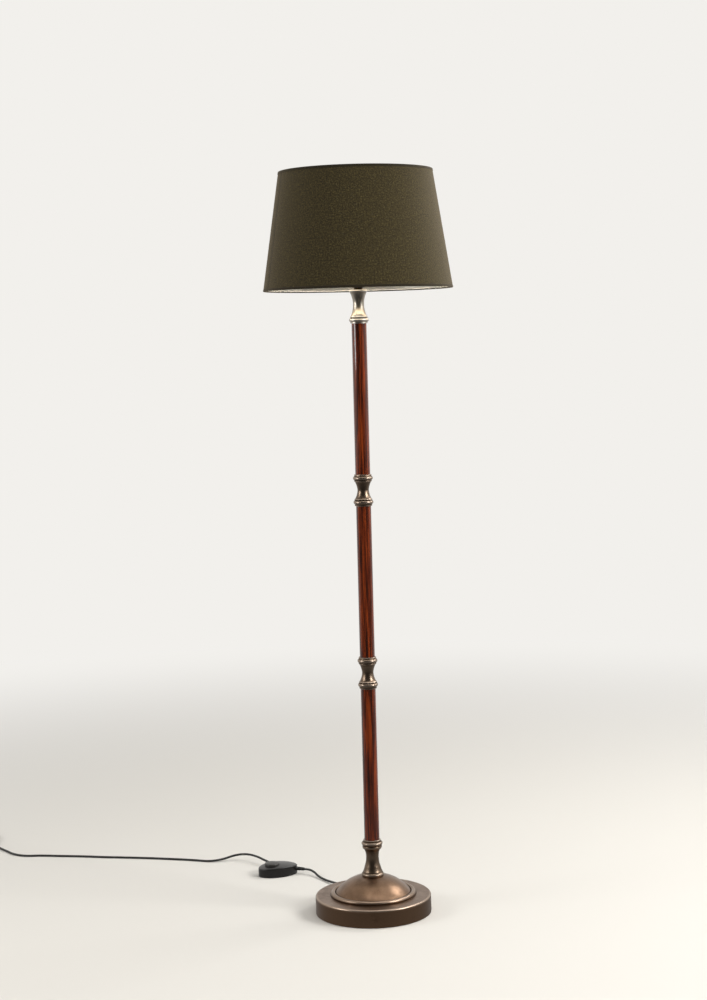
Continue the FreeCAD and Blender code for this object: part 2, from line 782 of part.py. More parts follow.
def winding(place, turns, straight):
    """Biarcs of a quarter turn through points of a wound curve, with straight ends."""
    quarters = turns * 4
    first, first_heading = point_and_heading(place, 0.0)
    edges = [Part.LineSegment(first - first_heading * straight, first).toShape()]
    for i in range(quarters):
        a, into = point_and_heading(place, i / 4)
        b, out = point_and_heading(place, (i + 1) / 4)
        chord = b - a
        total = into + out
        spread = 2 * (1 - into.dot(out))
        along = chord.dot(total)
        reach = (math.sqrt(along * along + spread * chord.dot(chord)) - along) / spread
        corner_a = a + into * reach
        corner_b = b - out * reach
        joint = (corner_a + corner_b) * 0.5
        edges.append(arc_edge(a, corner_a, joint))
        edges.append(arc_edge(joint, corner_b, b))
    last, last_heading = point_and_heading(place, float(turns))
    edges.append(Part.LineSegment(last, last + last_heading * straight).toShape())
    return Part.Wire(edges)


def least_gap(path):
    """Smallest distance between two stretches of the coil that lie side by side."""
    points = path.discretize(Number=900)
    step = path.Length / (len(points) - 1)
    skip = int(COIL_MEAN_R * 2 / step)
    least = 1e9
    for i in range(len(points)):
        for j in range(i + skip, len(points)):
            least = min(least, points[i].distanceToPoint(points[j]))
    return least - CORD_D


def tail_points():
    end, heading = point_and_heading(coil_place, float(COIL_TURNS * 2))
    start = end + heading * CORD_D
    plug_z = PLUG_T / 2
    return [
        start,
        start + heading * 22,
        start + Vector(-5, 44, -0.8),
        start + Vector(-21, 62, plug_z - start.z),
        start + Vector(-43, 66, plug_z - start.z),
    ]


# --- Plug ---------------------------------------------------------------------------------------

def plug_pieces():
    """Flat two-pin plug, made along +X with its cord side at x = 0."""
    half_w = PLUG_W / 2
    outline = [(0, -8), (PLUG_L - 12, -half_w), (PLUG_L, -half_w), (PLUG_L, half_w), (PLUG_L - 12, half_w), (0, 8)]
    points = [Vector(x, y, -PLUG_T / 2) for x, y in outline]
    body = Part.Face(Part.makePolygon(points + [points[0]])).extrude(Vector(0, 0, PLUG_T))
    body = body.makeFillet(2.5, [e for e in body.Edges if e.BoundBox.XMax < PLUG_L - 0.1])
    pins = []
    for side in (-1, 1):
        start = Vector(PLUG_L, side * PLUG_PIN_SPACING / 2, 0)
        pin = Part.makeCylinder(PLUG_PIN_R, PLUG_PIN_L, start, Vector(1, 0, 0))
        pins.append(pin.makeFillet(1.2, [e for e in pin.Edges if e.BoundBox.XMin > PLUG_L + PLUG_PIN_L - 0.1]))
    guard = Part.makeCone(RELIEF_TIP_R, RELIEF_ROOT_R, RELIEF_L, Vector(-RELIEF_L, 0, 0), Vector(1, 0, 0))
    for i in range(4):
        place = Vector(-RELIEF_L + 3 + i * 4, 0, 0)
        slot = Part.makeCylinder(RELIEF_ROOT_R + 1, 1.4, place, Vector(1, 0, 0))
        core = Part.makeCylinder(RELIEF_TIP_R - 0.4, 1.4, place, Vector(1, 0, 0))
        guard = guard.cut(slot.cut(core))
    return body, Part.makeCompound(pins), guard


def place_plug(shape):
    """Lay the plug at the tail's end, in line with it."""
    tail = tail_points()
    heading = (tail[-1] - tail[-2]).normalize()
    angle = math.degrees(math.atan2(heading.y, heading.x))
    shape.translate(Vector(RELIEF_L, 0, 0))
    shape.rotate(Vector(0, 0, 0), Vector(0, 0, 1), angle)
    shape.translate(tail[-1])
    return shape


# --- Foot switch --------------------------------------------------------------------------------

def oval(offset, low, high):
    """Upright oval block of the switch's outline, drawn in by offset."""
    curve = Part.Ellipse(Vector(0, 0, low), SWITCH_A - offset, SWITCH_B - offset).toShape()
    return Part.Face(Part.Wire(curve)).extrude(Vector(0, 0, high - low))


def on_floor(shape):
    shape.rotate(Vector(0, 0, 0), Vector(0, 0, 1), SWITCH_TURN)
    shape.translate(Vector(SWITCH_X, SWITCH_Y, 0))
    return shape


def switch_ports(radius):
    holes = []
    for angle in (LEAD_PORT_ANGLE, RUN_PORT_ANGLE):
        direction = polar(1, angle)
        holes.append(Part.makeCylinder(radius, 12, switch_port(angle) - direction * 7, direction))
    return holes


def crown(offset):
    radius = SWITCH_CROWN_R - offset
    return Part.makeSphere(radius, Vector(0, 0, SWITCH_H - SWITCH_CROWN_R))


def switch_screw_places():
    return [(31.0, 0.0), (-38.0, 0.0)]


def switch_upper():
    """Domed upper half with the button well."""
    outside = oval(0, SWITCH_SPLIT_Z, SWITCH_H + 2).common(crown(0))
    rim = [e for e in outside.Edges if e.BoundBox.ZMin > SWITCH_SPLIT_Z + 1 and e.BoundBox.XLength > SWITCH_A]
    outside = outside.makeFillet(SWITCH_EDGE_R, rim)
    inside = oval(SWITCH_WALL, SWITCH_SPLIT_Z, SWITCH_H + 2).common(crown(SWITCH_WALL))
    body = outside.cut(inside)
    body = body.cut(cylinder(BUTTON_R + RUNNING_CLEARANCE, SWITCH_H, BUTTON_OFFSET, 0, SWITCH_SPLIT_Z))
    for x, y in switch_screw_places():
        post = cylinder(3.0, SWITCH_H, x, y, SWITCH_SPLIT_Z).common(oval(1.0, 0, SWITCH_H + 2).common(crown(1.0)))
        post = post.cut(cylinder(BUTTON_R + RUNNING_CLEARANCE + 0.4, SWITCH_H, BUTTON_OFFSET, 0, SWITCH_SPLIT_Z))
        body = body.fuse(post).cut(cylinder(SWITCH_SCREW_R + THREAD_CLEARANCE, 5, x, y, SWITCH_SPLIT_Z))
    body = on_floor(body.removeSplitter())
    for hole in switch_ports(RELIEF_ROOT_R + FIT_CLEARANCE):
        body = body.cut(hole)
    return body


def switch_lower():
    """Shallow tray that closes the switch."""
    tray = oval(0, SWITCH_FOOT_H, SWITCH_SPLIT_Z)
    tray = tray.cut(oval(SWITCH_WALL, SWITCH_FOOT_H + SWITCH_WALL, SWITCH_SPLIT_Z))
    for x, y in switch_screw_places():
        post = cylinder(3.0, SWITCH_SPLIT_Z - SWITCH_FOOT_H, x, y, SWITCH_FOOT_H).common(oval(0.5, 0, SWITCH_H))
        tray = tray.fuse(post)
        tray = tray.cut(cylinder(SWITCH_SCREW_R + FIT_CLEARANCE, SWITCH_SPLIT_Z, x, y, SWITCH_FOOT_H))
        tray = tray.cut(cylinder(SWITCH_SCREW_HEAD_R + FIT_CLEARANCE, 2, x, y, SWITCH_FOOT_H))
    tray = on_floor(tray.removeSplitter())
    for hole in switch_ports(RELIEF_ROOT_R + FIT_CLEARANCE):
        tray = tray.cut(hole)
    return tray


def switch_screws():
    screws = []
    for x, y in switch_screw_places():
        head = cylinder(SWITCH_SCREW_HEAD_R, 1.9, x, y, SWITCH_FOOT_H + 0.1)
        shank = cylinder(SWITCH_SCREW_R, SWITCH_SPLIT_Z - SWITCH_FOOT_H + 2, x, y, SWITCH_FOOT_H + 2)
        screws.append(head.fuse(shank).removeSplitter())
    return on_floor(Part.makeCompound(screws))


def switch_feet():
    feet = []
    for x, y in ((24, 15), (24, -15), (-24, 15), (-24, -15)):
        feet.append(cylinder(SWITCH_FOOT_R, SWITCH_FOOT_H, x, y, 0))
    return on_floor(Part.makeCompound(feet))


def block_top():
    return SWITCH_FOOT_H + SWITCH_WALL + SWITCH_BLOCK_H


def button_floor():
    """Underside of the button at rest."""
    return block_top() + BUTTON_TRAVEL + 1.5 + BUTTON_WALL


def switch_block():
    low = SWITCH_FOOT_H + SWITCH_WALL
    corner = Vector(BUTTON_OFFSET - SWITCH_BLOCK_L / 2, -SWITCH_BLOCK_W / 2, low)
    block = Part.makeBox(SWITCH_BLOCK_L, SWITCH_BLOCK_W, SWITCH_BLOCK_H, corner)
    return on_floor(block.makeChamfer(0.8, [e for e in block.Edges if e.BoundBox.ZLength > 1]))


def switch_terminals():
    terminals = []
    low = SWITCH_FOOT_H + SWITCH_WALL
    for side in (-1, 1):
        corner = Vector(BUTTON_OFFSET + SWITCH_BLOCK_L / 2, side * 5 - 2.5, low)
        terminals.append(Part.makeBox(7, 5, 4, corner))
    return on_floor(Part.makeCompound(terminals))


def switch_button():
    """Round domed button with a hollow underside."""
    low = button_floor() - BUTTON_WALL
    top = SWITCH_H + BUTTON_PROUD
    rim = BUTTON_R - 2.2
    dish = 1.6
    dome_r = (rim * rim + dish * dish) / (2 * dish)
    half = math.asin(rim / dome_r) / 2
    body = turned([
        (0, low),
        (BUTTON_R, low),
        (BUTTON_R, top - dish - 2.0),
        (rim, top - dish, BUTTON_R - 0.7, top - dish - 0.7),
        (0, top, dome_r * math.sin(half), top - dome_r * (1 - math.cos(half))),
    ])
    hollow = cylinder(SPRING_R + 1.5, top - BUTTON_WALL - 2 - low, z=low)
    body = body.cut(hollow)
    body.translate(Vector(BUTTON_OFFSET, 0, 0))
    return on_floor(body)


def switch_spring():
    """Helical return spring between the block and the button's crown."""
    low = block_top() + SPRING_WIRE_R
    high = SWITCH_H + BUTTON_PROUD - BUTTON_WALL - 2 - SPRING_WIRE_R - 0.3

    def place(t):
        angle = 2 * math.pi * t
        rise = (high - low) * t / SPRING_TURNS
        return Vector(BUTTON_OFFSET + SPRING_R * math.cos(angle), SPRING_R * math.sin(angle), low + rise)

    return on_floor(swept(winding(place, SPRING_TURNS, SPRING_WIRE_R), SPRING_WIRE_R))


# --- Build --------------------------------------------------------------------------------------

def build_base():
    save("base_shell", base_shell())
    save("base_weight", base_weight())
    save("base_plate", base_plate())
    save("plate_screws", plate_screws())
    save("base_felt", cylinder(BASE_R - FELT_MARGIN, FELT_H))
    washer_z = RECESS_TOP_Z - WASHER_H
    save("rod_washer", tube(WASHER_R, ROD_R + FIT_CLEARANCE, WASHER_H, washer_z))
    save("rod_nut", hex_nut(NUT_FLATS, NUT_H, ROD_R + THREAD_CLEARANCE, washer_z - NUT_H))
    bushing_root = polar(BASE_R, BUSHING_ANGLE, CORD_EXIT_Z)
    save("cord_bushing", relief(bushing_root, BUSHING_ANGLE, RELIEF_L, 8.0))


def build_column():
    save("base_neck", base_neck())
    save("top_neck", top_neck())
    names = ("lower", "middle", "upper")
    for i, name in enumerate(names[:POLE_COUNT]):
        save("pole_" + name, pole(pole_level(i)))
        top_of_pole = pole_level(i) + POLE_EXPOSED
        rod_low = ROD_END_Z if i == 0 else pole_level(i) - COUPLING_H / 2 + ROD_JOINT_GAP / 2
        rod_high = HOLDER_Z + 9.0 if i == POLE_COUNT - 1 else top_of_pole + COUPLING_H / 2 - ROD_JOINT_GAP / 2
        save("rod_" + name, rod(rod_low, rod_high))
        if i < POLE_COUNT - 1:
            save("coupling_" + name, coupling(top_of_pole))
    save("inner_flex", cord_tube("inner_flex", inner_flex_path()))


def build_holder():
    save("lampholder_cap", lampholder_cap())
    save("lampholder_skirt", lampholder_skirt())
    save("lampholder_core", lampholder_core())
    save("lampholder_contacts", lampholder_contacts())
    save("terminal_screws", terminal_screws())
    seat = HOLDER_Z + SHADE_SEAT_Z
    save("shade_ring_lower", shade_ring(seat))
    save("shade_ring_upper", shade_ring(seat + RING_H + SPIDER_RING_H + 2 * SEAT_CLEARANCE))
    save("bulb_cap", bulb_cap())
    save("bulb_insulator", bulb_insulator())
    save("bulb_tip", bulb_tip())
    save("bulb_glass", bulb_glass())


def build_shade():
    top = SHADE_Z + SHADE_H
    low = SHADE_Z + BINDING_WALL + 0.05
    high = top - BINDING_WALL - 0.05
    save("shade_cover", cone_wall(0.0, COVER_WALL, low, high))
    save("shade_lining", cone_wall(COVER_WALL, COVER_WALL + LINING_WALL, low, high))
    seam_low = SHADE_Z + 2 * HOOP_WIRE_R + 3
    seam_high = top - 2 * HOOP_WIRE_R - 3
    seam = cone_wall(-SEAM_H, 0.0, seam_low, seam_high, math.degrees(SEAM_W / SHADE_BOTTOM_R))
    seam.rotate(Vector(0, 0, 0), Vector(0, 0, 1), SEAM_ANGLE)
    save("shade_seam", seam)
    save("bottom_hoop", hoop(SHADE_Z, 1))
    save("top_hoop", hoop(top, -1))
    save("bottom_binding", binding(SHADE_Z, 1))
    save("top_binding", binding(top, -1))
    save("shade_spider", shade_spider())


def build_switch():
    save("switch_upper", switch_upper())
    save("switch_lower", switch_lower())
    save("switch_screws", switch_screws())
    save("switch_feet", switch_feet())
    save("switch_block", switch_block())
    save("switch_terminals", switch_terminals())
    save("switch_button", switch_button())
    save("switch_spring", switch_spring())
    save("switch_relief_lead", relief(switch_port(LEAD_PORT_ANGLE), LEAD_PORT_ANGLE, SWITCH_RELIEF_L, 4.0))
    save("switch_relief_run", relief(switch_port(RUN_PORT_ANGLE), RUN_PORT_ANGLE, SWITCH_RELIEF_L, 4.0))


def build_cord():
    save("cord_lead", cord_tube("cord_lead", bent_path(lead_points(), "cord_lead")))
    save("cord_run", cord_tube("cord_run", bent_path(run_points(), "cord_run")))
    coil = winding(coil_place, COIL_TURNS * 2, CORD_D)
    print("cord_coil least gap", round(least_gap(coil), 3))
    save("cord_coil", cord_tube("cord_coil", coil))
    save("cord_tail", cord_tube("cord_tail", bent_path(tail_points(), "cord_tail")))
    body, pins, guard = plug_pieces()
    save("plug_body", place_plug(body))
    save("plug_pins", place_plug(pins))
    save("plug_relief", place_plug(guard))


build_base()
build_column()
build_holder()
build_shade()
build_switch()
build_cord()
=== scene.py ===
import math

import bmesh
import bpy
from mathutils import Matrix, Vector


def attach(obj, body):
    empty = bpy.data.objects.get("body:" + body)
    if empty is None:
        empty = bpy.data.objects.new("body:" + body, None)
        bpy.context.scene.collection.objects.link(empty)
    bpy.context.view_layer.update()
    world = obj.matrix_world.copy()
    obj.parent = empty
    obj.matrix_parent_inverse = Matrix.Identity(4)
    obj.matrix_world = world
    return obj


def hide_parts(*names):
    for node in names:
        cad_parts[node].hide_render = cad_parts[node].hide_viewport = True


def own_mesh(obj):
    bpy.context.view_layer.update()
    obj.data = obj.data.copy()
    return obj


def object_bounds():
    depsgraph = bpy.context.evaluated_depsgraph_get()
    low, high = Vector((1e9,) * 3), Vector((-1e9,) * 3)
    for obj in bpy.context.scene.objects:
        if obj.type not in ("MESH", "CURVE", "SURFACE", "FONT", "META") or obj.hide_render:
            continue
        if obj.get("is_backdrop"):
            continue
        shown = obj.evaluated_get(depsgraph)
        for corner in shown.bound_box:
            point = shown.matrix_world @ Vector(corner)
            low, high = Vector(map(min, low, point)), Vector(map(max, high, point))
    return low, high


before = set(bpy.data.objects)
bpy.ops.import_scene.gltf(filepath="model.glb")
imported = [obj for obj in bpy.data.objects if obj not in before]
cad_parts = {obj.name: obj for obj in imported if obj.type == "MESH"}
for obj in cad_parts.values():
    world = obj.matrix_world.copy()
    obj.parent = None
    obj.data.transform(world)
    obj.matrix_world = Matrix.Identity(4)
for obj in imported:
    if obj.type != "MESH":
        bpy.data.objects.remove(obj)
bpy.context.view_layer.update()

# Camera
# It stands four metres in front of the column, level, and leans a little to its right, as the picture does.
CAMERA_DISTANCE = 4.0738
CAMERA_HEIGHT = 1.2199
CAMERA_LEAN = math.radians(1.444)
CAMERA_LENS_MM = 68.78
CAMERA_SHIFT = (-0.00587, -0.16087)

camera_data = bpy.data.cameras.new("camera")
camera_data.lens = CAMERA_LENS_MM
camera_data.sensor_width = 36.0
camera_data.shift_x, camera_data.shift_y = CAMERA_SHIFT
camera = bpy.data.objects.new("camera", camera_data)
bpy.context.scene.collection.objects.link(camera)
camera.matrix_world = (
    Matrix.Translation((0, -CAMERA_DISTANCE, CAMERA_HEIGHT))
    @ Matrix.Rotation(math.radians(90), 4, "X")
    @ Matrix.Rotation(-CAMERA_LEAN, 4, "Z")
)
bpy.context.scene.camera = camera
bpy.context.scene.view_settings.view_transform = "Standard"

# Studio
# A pale matt floor that fades into a pale surround, three soft boxes and a wide soft light overhead.
# The surround is darker behind the camera, so rounded metal shows bright flanks and a dark middle.
SURROUND_HEX = "F2F0EC"
FLOOR_HEX = "DCD8D0"
FLOOR_R = 14.0
FADE_FROM, FADE_TO = 0.9, 3.6
MIRROR_REACH = 1.8
AMBIENT = 0.38


def linear(colour, alpha=1.0):
    """sRGB hex to linear RGBA."""
    channels = [int(colour[i:i + 2], 16) / 255 for i in (0, 2, 4)]
    return tuple(c / 12.92 if c <= 0.04045 else ((c + 0.055) / 1.055) ** 2.4 for c in channels) + (alpha,)


def add_node(tree, kind, inputs=None, **settings):
    """Add a node, set its settings, and fill or link its inputs."""
    node = tree.nodes.new(kind)
    for name, value in settings.items():
        setattr(node, name, value)
    for key, value in (inputs or {}).items():
        if isinstance(value, bpy.types.NodeSocket):
            tree.links.new(value, node.inputs[key])
        else:
            node.inputs[key].default_value = value
    return node


def start_material(name):
    material = bpy.data.materials.new(name)
    material.use_nodes = True
    material.node_tree.nodes.clear()
    return material, material.node_tree


def end_material(tree, surface):
    add_node(tree, "ShaderNodeOutputMaterial", {"Surface": surface})


floor_mesh = bpy.data.meshes.new("floor")
floor_shape = bmesh.new()
bmesh.ops.create_circle(floor_shape, cap_ends=True, segments=96, radius=FLOOR_R)
floor_shape.to_mesh(floor_mesh)
floor_shape.free()
floor = bpy.data.objects.new("floor", floor_mesh)
bpy.context.scene.collection.objects.link(floor)
floor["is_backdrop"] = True

# Matt paint has no gloss: a flat pale grey, faded into the white of the surround.
floor_material, tree = start_material("matt_floor_paint")
place = add_node(tree, "ShaderNodeTexCoord")
reach = add_node(tree, "ShaderNodeVectorMath", {0: place.outputs["Object"]}, operation="LENGTH")
fade = add_node(tree, "ShaderNodeMapRange", {"Value": reach.outputs["Value"], "From Min": FADE_FROM,
                                             "From Max": FADE_TO}, interpolation_type="SMOOTHSTEP")
axes = add_node(tree, "ShaderNodeSeparateXYZ", {0: place.outputs["Object"]})
depth = add_node(tree, "ShaderNodeMapRange", {"Value": axes.outputs["Y"], "From Min": -MIRROR_REACH,
                                              "From Max": MIRROR_REACH, "To Min": 0.08, "To Max": 0.80},
                 interpolation_type="SMOOTHSTEP")
path = add_node(tree, "ShaderNodeLightPath")
fade_shown = add_node(tree, "ShaderNodeMath", {0: fade.outputs["Result"], 1: path.outputs["Is Camera Ray"]},
                      operation="MULTIPLY")
paint = add_node(tree, "ShaderNodeBsdfDiffuse", {"Color": linear(FLOOR_HEX)})
glow = add_node(tree, "ShaderNodeEmission", {"Color": linear(SURROUND_HEX), "Strength": 1.0})
mirrored = add_node(tree, "ShaderNodeEmission", {"Color": linear(SURROUND_HEX),
                                                 "Strength": depth.outputs["Result"]})
blend = add_node(tree, "ShaderNodeMixShader", {0: fade_shown.outputs["Value"], 1: paint.outputs[0],
                                               2: glow.outputs[0]})
seen = add_node(tree, "ShaderNodeMixShader", {0: path.outputs["Is Glossy Ray"], 1: blend.outputs[0],
                                              2: mirrored.outputs[0]})
end_material(tree, seen.outputs[0])
floor_mesh.materials.append(floor_material)

world = bpy.data.worlds.new("surround")
bpy.context.scene.world = world
world.use_nodes = True
tree = world.node_tree
tree.nodes.clear()
path = add_node(tree, "ShaderNodeLightPath")
seen = add_node(tree, "ShaderNodeMath", {0: path.outputs["Is Camera Ray"],
                                         1: path.outputs["Is Transmission Ray"]}, operation="MAXIMUM")
heading = add_node(tree, "ShaderNodeSeparateXYZ", {
    0: add_node(tree, "ShaderNodeTexCoord").outputs["Generated"],
})
room = add_node(tree, "ShaderNodeMapRange", {"Value": heading.outputs["Y"], "From Min": -0.9,
                                             "From Max": 0.25, "To Min": 0.06, "To Max": 1.0},
                interpolation_type="SMOOTHSTEP")
ambient = add_node(tree, "ShaderNodeBackground", {"Color": (1, 1, 1, 1), "Strength": AMBIENT})
reflected = add_node(tree, "ShaderNodeBackground", {"Color": linear(SURROUND_HEX),
                                                    "Strength": room.outputs["Result"]})
backdrop = add_node(tree, "ShaderNodeBackground", {"Color": linear(SURROUND_HEX), "Strength": 1.0})
indirect = add_node(tree, "ShaderNodeMixShader", {0: path.outputs["Is Glossy Ray"], 1: ambient.outputs[0],
                                                  2: reflected.outputs[0]})
both = add_node(tree, "ShaderNodeMixShader", {0: seen.outputs["Value"], 1: indirect.outputs[0],
                                              2: backdrop.outputs[0]})
add_node(tree, "ShaderNodeOutputWorld", {"Surface": both.outputs[0]})

for name, spot, target, size, power in (
    ("soft_box_right", (2.9, -1.3, 2.2), (0, 0, 0.9), 1.3, 96.0),
    ("soft_box_left", (-2.7, -0.9, 1.6), (0, 0, 0.8), 1.0, 28.0),
    ("soft_box_back", (2.3, 1.3, 2.5), (0, 0, 0.4), 1.2, 38.0),
    ("soft_box_top", (0.3, -0.6, 3.6), (0, 0, 0), 2.4, 34.0),
):
    lamp_data = bpy.data.lights.new(name, "AREA")
    lamp_data.size = size
    lamp_data.energy = power
    lamp = bpy.data.objects.new(name, lamp_data)
    bpy.context.scene.collection.objects.link(lamp)
    aim = (Vector(target) - Vector(spot)).to_track_quat("-Z", "Y")
    lamp.matrix_world = Matrix.Translation(spot) @ aim.to_matrix().to_4x4()

# Base skin
# A drum and dome spun from one sheet of metal, with a ring moulding, plated and aged to dark pewter.
# Spinning leaves fine rings; the ageing stays dark in the hollows and is rubbed bright on the ridges.
BASE_R = 123.0
BASE_TOP = 37.5
EDGE_R = 3.5
EDGE_MIDDLE = 1.03
INNER_EDGE_MIDDLE = 2.1
SKIN = 1.6
MOULDING_R = 90.0
MOULDING_H = 8.0
DOME_R = 80.5
DOME_FOOT = 42.5
DOME_TOP = 77.0
DOME_FLAT_R = 21.0
DOME_FULLNESS = 6.0
DOME_RISE = 0.62
ROD_HOLE_R = 5.1
PAINTED_DARK_SIDE_RELIEF = 0.37
MM = 0.001
PEWTER_HEX = "7E6551"
AGEING_HEX = "3C2A1B"
RUBBED_HEX = "B8A797"


def arc_points(start, middle, end, count):
    """Points of the arc from start through middle to end, without the start."""
    (ax, ay), (bx, by), (cx, cy) = start, middle, end
    d = 2 * (ax * (by - cy) + bx * (cy - ay) + cx * (ay - by))
    a2, b2, c2 = ax * ax + ay * ay, bx * bx + by * by, cx * cx + cy * cy
    ux = (a2 * (by - cy) + b2 * (cy - ay) + c2 * (ay - by)) / d
    uy = (a2 * (cx - bx) + b2 * (ax - cx) + c2 * (bx - ax)) / d
    radius = math.hypot(ax - ux, ay - uy)
    first = math.atan2(ay - uy, ax - ux)
    through, whole = ((math.atan2(y - uy, x - ux) - first) % (2 * math.pi) for x, y in (middle, end))
    if through > whole:
        whole -= 2 * math.pi
    return [
        (ux + radius * math.cos(first + whole * i / count), uy + radius * math.sin(first + whole * i / count))
        for i in range(1, count + 1)
    ]


def flatten(outline, count=10):
    """Turn (r, z) and (r, z, mid_r, mid_z) steps into a closed run of plain points."""
    points = [outline[0][:2]]
    for step in outline[1:]:
        if len(step) == 4:
            points += arc_points(points[-1], step[2:], step[:2], count)
        else:
            points.append(step)
    return points


def relief_of(points, reach=2.2):
    """1 on ridges, 0 in hollows and 0.5 on flats: the bends within reach along a closed outline."""
    bends, places, travelled = [], [], 0.0
    for before, here, after in zip(points[-1:] + points[:-1], points, points[1:] + points[:1]):
        a, b = Vector(here) - Vector(before), Vector(after) - Vector(here)
        travelled += a.length
        places.append(travelled)
        bends.append(math.atan2(a.x * b.y - a.y * b.x, a.dot(b)))
    turns = [sum(bend for bend, other in zip(bends, places) if abs(other - place) < reach)
             for place in places]
    return [min(max(0.5 + 0.35 * turn, 0.0), 1.0) for turn in turns]


def with_flats(points, reach=2.5):
    """Points and their relief, with a plain point near each end of every long straight stretch."""
    values = relief_of(points)
    kept = []
    for here, after, value in zip(points, points[1:] + points[:1], values):
        kept.append((here, value))
        span = math.dist(here, after)
        if span > 4 * reach:
            for share in (reach / span, 1 - reach / span):
                spot = (here[0] + (after[0] - here[0]) * share, here[1] + (after[1] - here[1]) * share)
                kept.append((spot, 0.5))
    return kept


def link_piece(name, mesh, material):
    piece = bpy.data.objects.new(name, mesh)
    bpy.context.scene.collection.objects.link(piece)
    if material:
        mesh.materials.append(material)
    return piece


def lathe(name, outline, material, segments=128, count=10, painted_dark_side=lambda r, z: False):
    """Revolve a closed outline, in millimetres, into a closed mesh with smooth turned faces."""
    points, reliefs = zip(*with_flats(flatten(outline, count)))
    # Points where painted_dark_side holds get a low relief, so the ageing paints them darker.
    reliefs = [min(value, PAINTED_DARK_SIDE_RELIEF) if painted_dark_side(*point) else value
               for point, value in zip(points, reliefs)]
    shape = bmesh.new()
    relief_layer = shape.verts.layers.float.new("relief")
    rings = []
    for (r, z), relief in zip(points, reliefs):
        ring = []
        for k in range(1 if r < 1e-6 else segments):
            angle = 2 * math.pi * k / segments
            vert = shape.verts.new(Vector((r * math.cos(angle), r * math.sin(angle), z)) * MM)
            vert[relief_layer] = relief
            ring.append(vert)
        rings.append(ring)
    for ring, after in zip(rings, rings[1:] + rings[:1]):
        for k in range(segments):
            j = (k + 1) % segments
            corners = [ring[k % len(ring)], ring[j % len(ring)], after[j % len(after)], after[k % len(after)]]
            distinct = list(dict.fromkeys(corners))
            if len(distinct) > 2:
                shape.faces.new(distinct)
    bmesh.ops.recalc_face_normals(shape, faces=shape.faces)
    mesh = bpy.data.meshes.new(name)
    shape.to_mesh(mesh)
    shape.free()
    mesh.shade_smooth()
    mesh.set_sharp_from_angle(angle=math.radians(38))
    return link_piece(name, mesh, material)


def aged_metal(name, ring_mm, base_hex, dark_hex, bright_hex):
    """Spun or turned metal: fine rings round the axis, ageing in the hollows, rubbed ridges."""
    material, tree = start_material(name)
    place = add_node(tree, "ShaderNodeTexCoord").outputs["Object"]
    axes = add_node(tree, "ShaderNodeSeparateXYZ", {0: place})
    flat = add_node(tree, "ShaderNodeCombineXYZ", {"X": axes.outputs["X"], "Y": axes.outputs["Y"]})
    reach = add_node(tree, "ShaderNodeVectorMath", {0: flat.outputs[0]}, operation="LENGTH")
    section = add_node(tree, "ShaderNodeCombineXYZ", {"X": reach.outputs["Value"], "Y": axes.outputs["Z"]})
    rings = add_node(tree, "ShaderNodeTexNoise", {"Vector": section.outputs[0], "Scale": 1000 / ring_mm,
                                                  "Detail": 2.0, "Roughness": 0.7})
    clouds = add_node(tree, "ShaderNodeTexNoise", {"Vector": place, "Scale": 26.0, "Detail": 6.0,
                                                   "Roughness": 0.62})
    specks = add_node(tree, "ShaderNodeTexNoise", {"Vector": place, "Scale": 420.0, "Detail": 3.0,
                                                   "Roughness": 0.7})
    relief = add_node(tree, "ShaderNodeAttribute", attribute_name="relief")
    hollow = add_node(tree, "ShaderNodeMapRange", {"Value": relief.outputs["Fac"], "From Min": 0.5,
                                                   "From Max": 0.2})
    ridge = add_node(tree, "ShaderNodeMapRange", {"Value": relief.outputs["Fac"], "From Min": 0.55,
                                                  "From Max": 0.95, "To Max": 0.55})
    cloudy = add_node(tree, "ShaderNodeMapRange", {"Value": clouds.outputs["Fac"], "From Min": 0.40,
                                                   "From Max": 0.70, "To Max": 0.62})
    aged = add_node(tree, "ShaderNodeMath", {0: hollow.outputs["Result"], 1: cloudy.outputs["Result"]},
                    operation="MAXIMUM")
    speck = add_node(tree, "ShaderNodeMapRange", {"Value": specks.outputs["Fac"], "From Min": 0.3,
                                                  "From Max": 0.7, "To Min": 0.74})
    amount = add_node(tree, "ShaderNodeMath", {0: aged.outputs["Value"], 1: speck.outputs["Result"]},
                      operation="MULTIPLY")
    worn = add_node(tree, "ShaderNodeMix", {"Factor": amount.outputs["Value"], "A": linear(base_hex),
                                            "B": linear(dark_hex)}, data_type="RGBA")
    rubbed = add_node(tree, "ShaderNodeMix", {"Factor": ridge.outputs["Result"], "A": worn.outputs["Result"],
                                              "B": linear(bright_hex)}, data_type="RGBA")
    matt = add_node(tree, "ShaderNodeMapRange", {"Value": amount.outputs["Value"], "To Min": 0.24,
                                                 "To Max": 0.46})
    grain = add_node(tree, "ShaderNodeMath", {0: rings.outputs["Fac"], 1: 0.10, 2: matt.outputs["Result"]},
                     operation="MULTIPLY_ADD")
    bump = add_node(tree, "ShaderNodeBump", {"Height": rings.outputs["Fac"], "Strength": 0.25,
                                             "Distance": 0.00012})
    shader = add_node(tree, "ShaderNodeBsdfPrincipled", {
        "Base Color": rubbed.outputs["Result"], "Metallic": 1.0, "Roughness": grain.outputs["Value"],
        "Normal": bump.outputs["Normal"],
    })
    end_material(tree, shader.outputs[0])
    return material


def dome_arc(offset):
    """Top, foot and middle of the dome's arc, that far inside its outer face."""
    middle = ((DOME_R + DOME_FLAT_R) / 2 + DOME_FULLNESS - offset,
              DOME_FOOT + (DOME_TOP - DOME_FOOT) * DOME_RISE - offset)
    return (DOME_FLAT_R, DOME_TOP - offset), (DOME_R - offset, DOME_FOOT - offset), middle


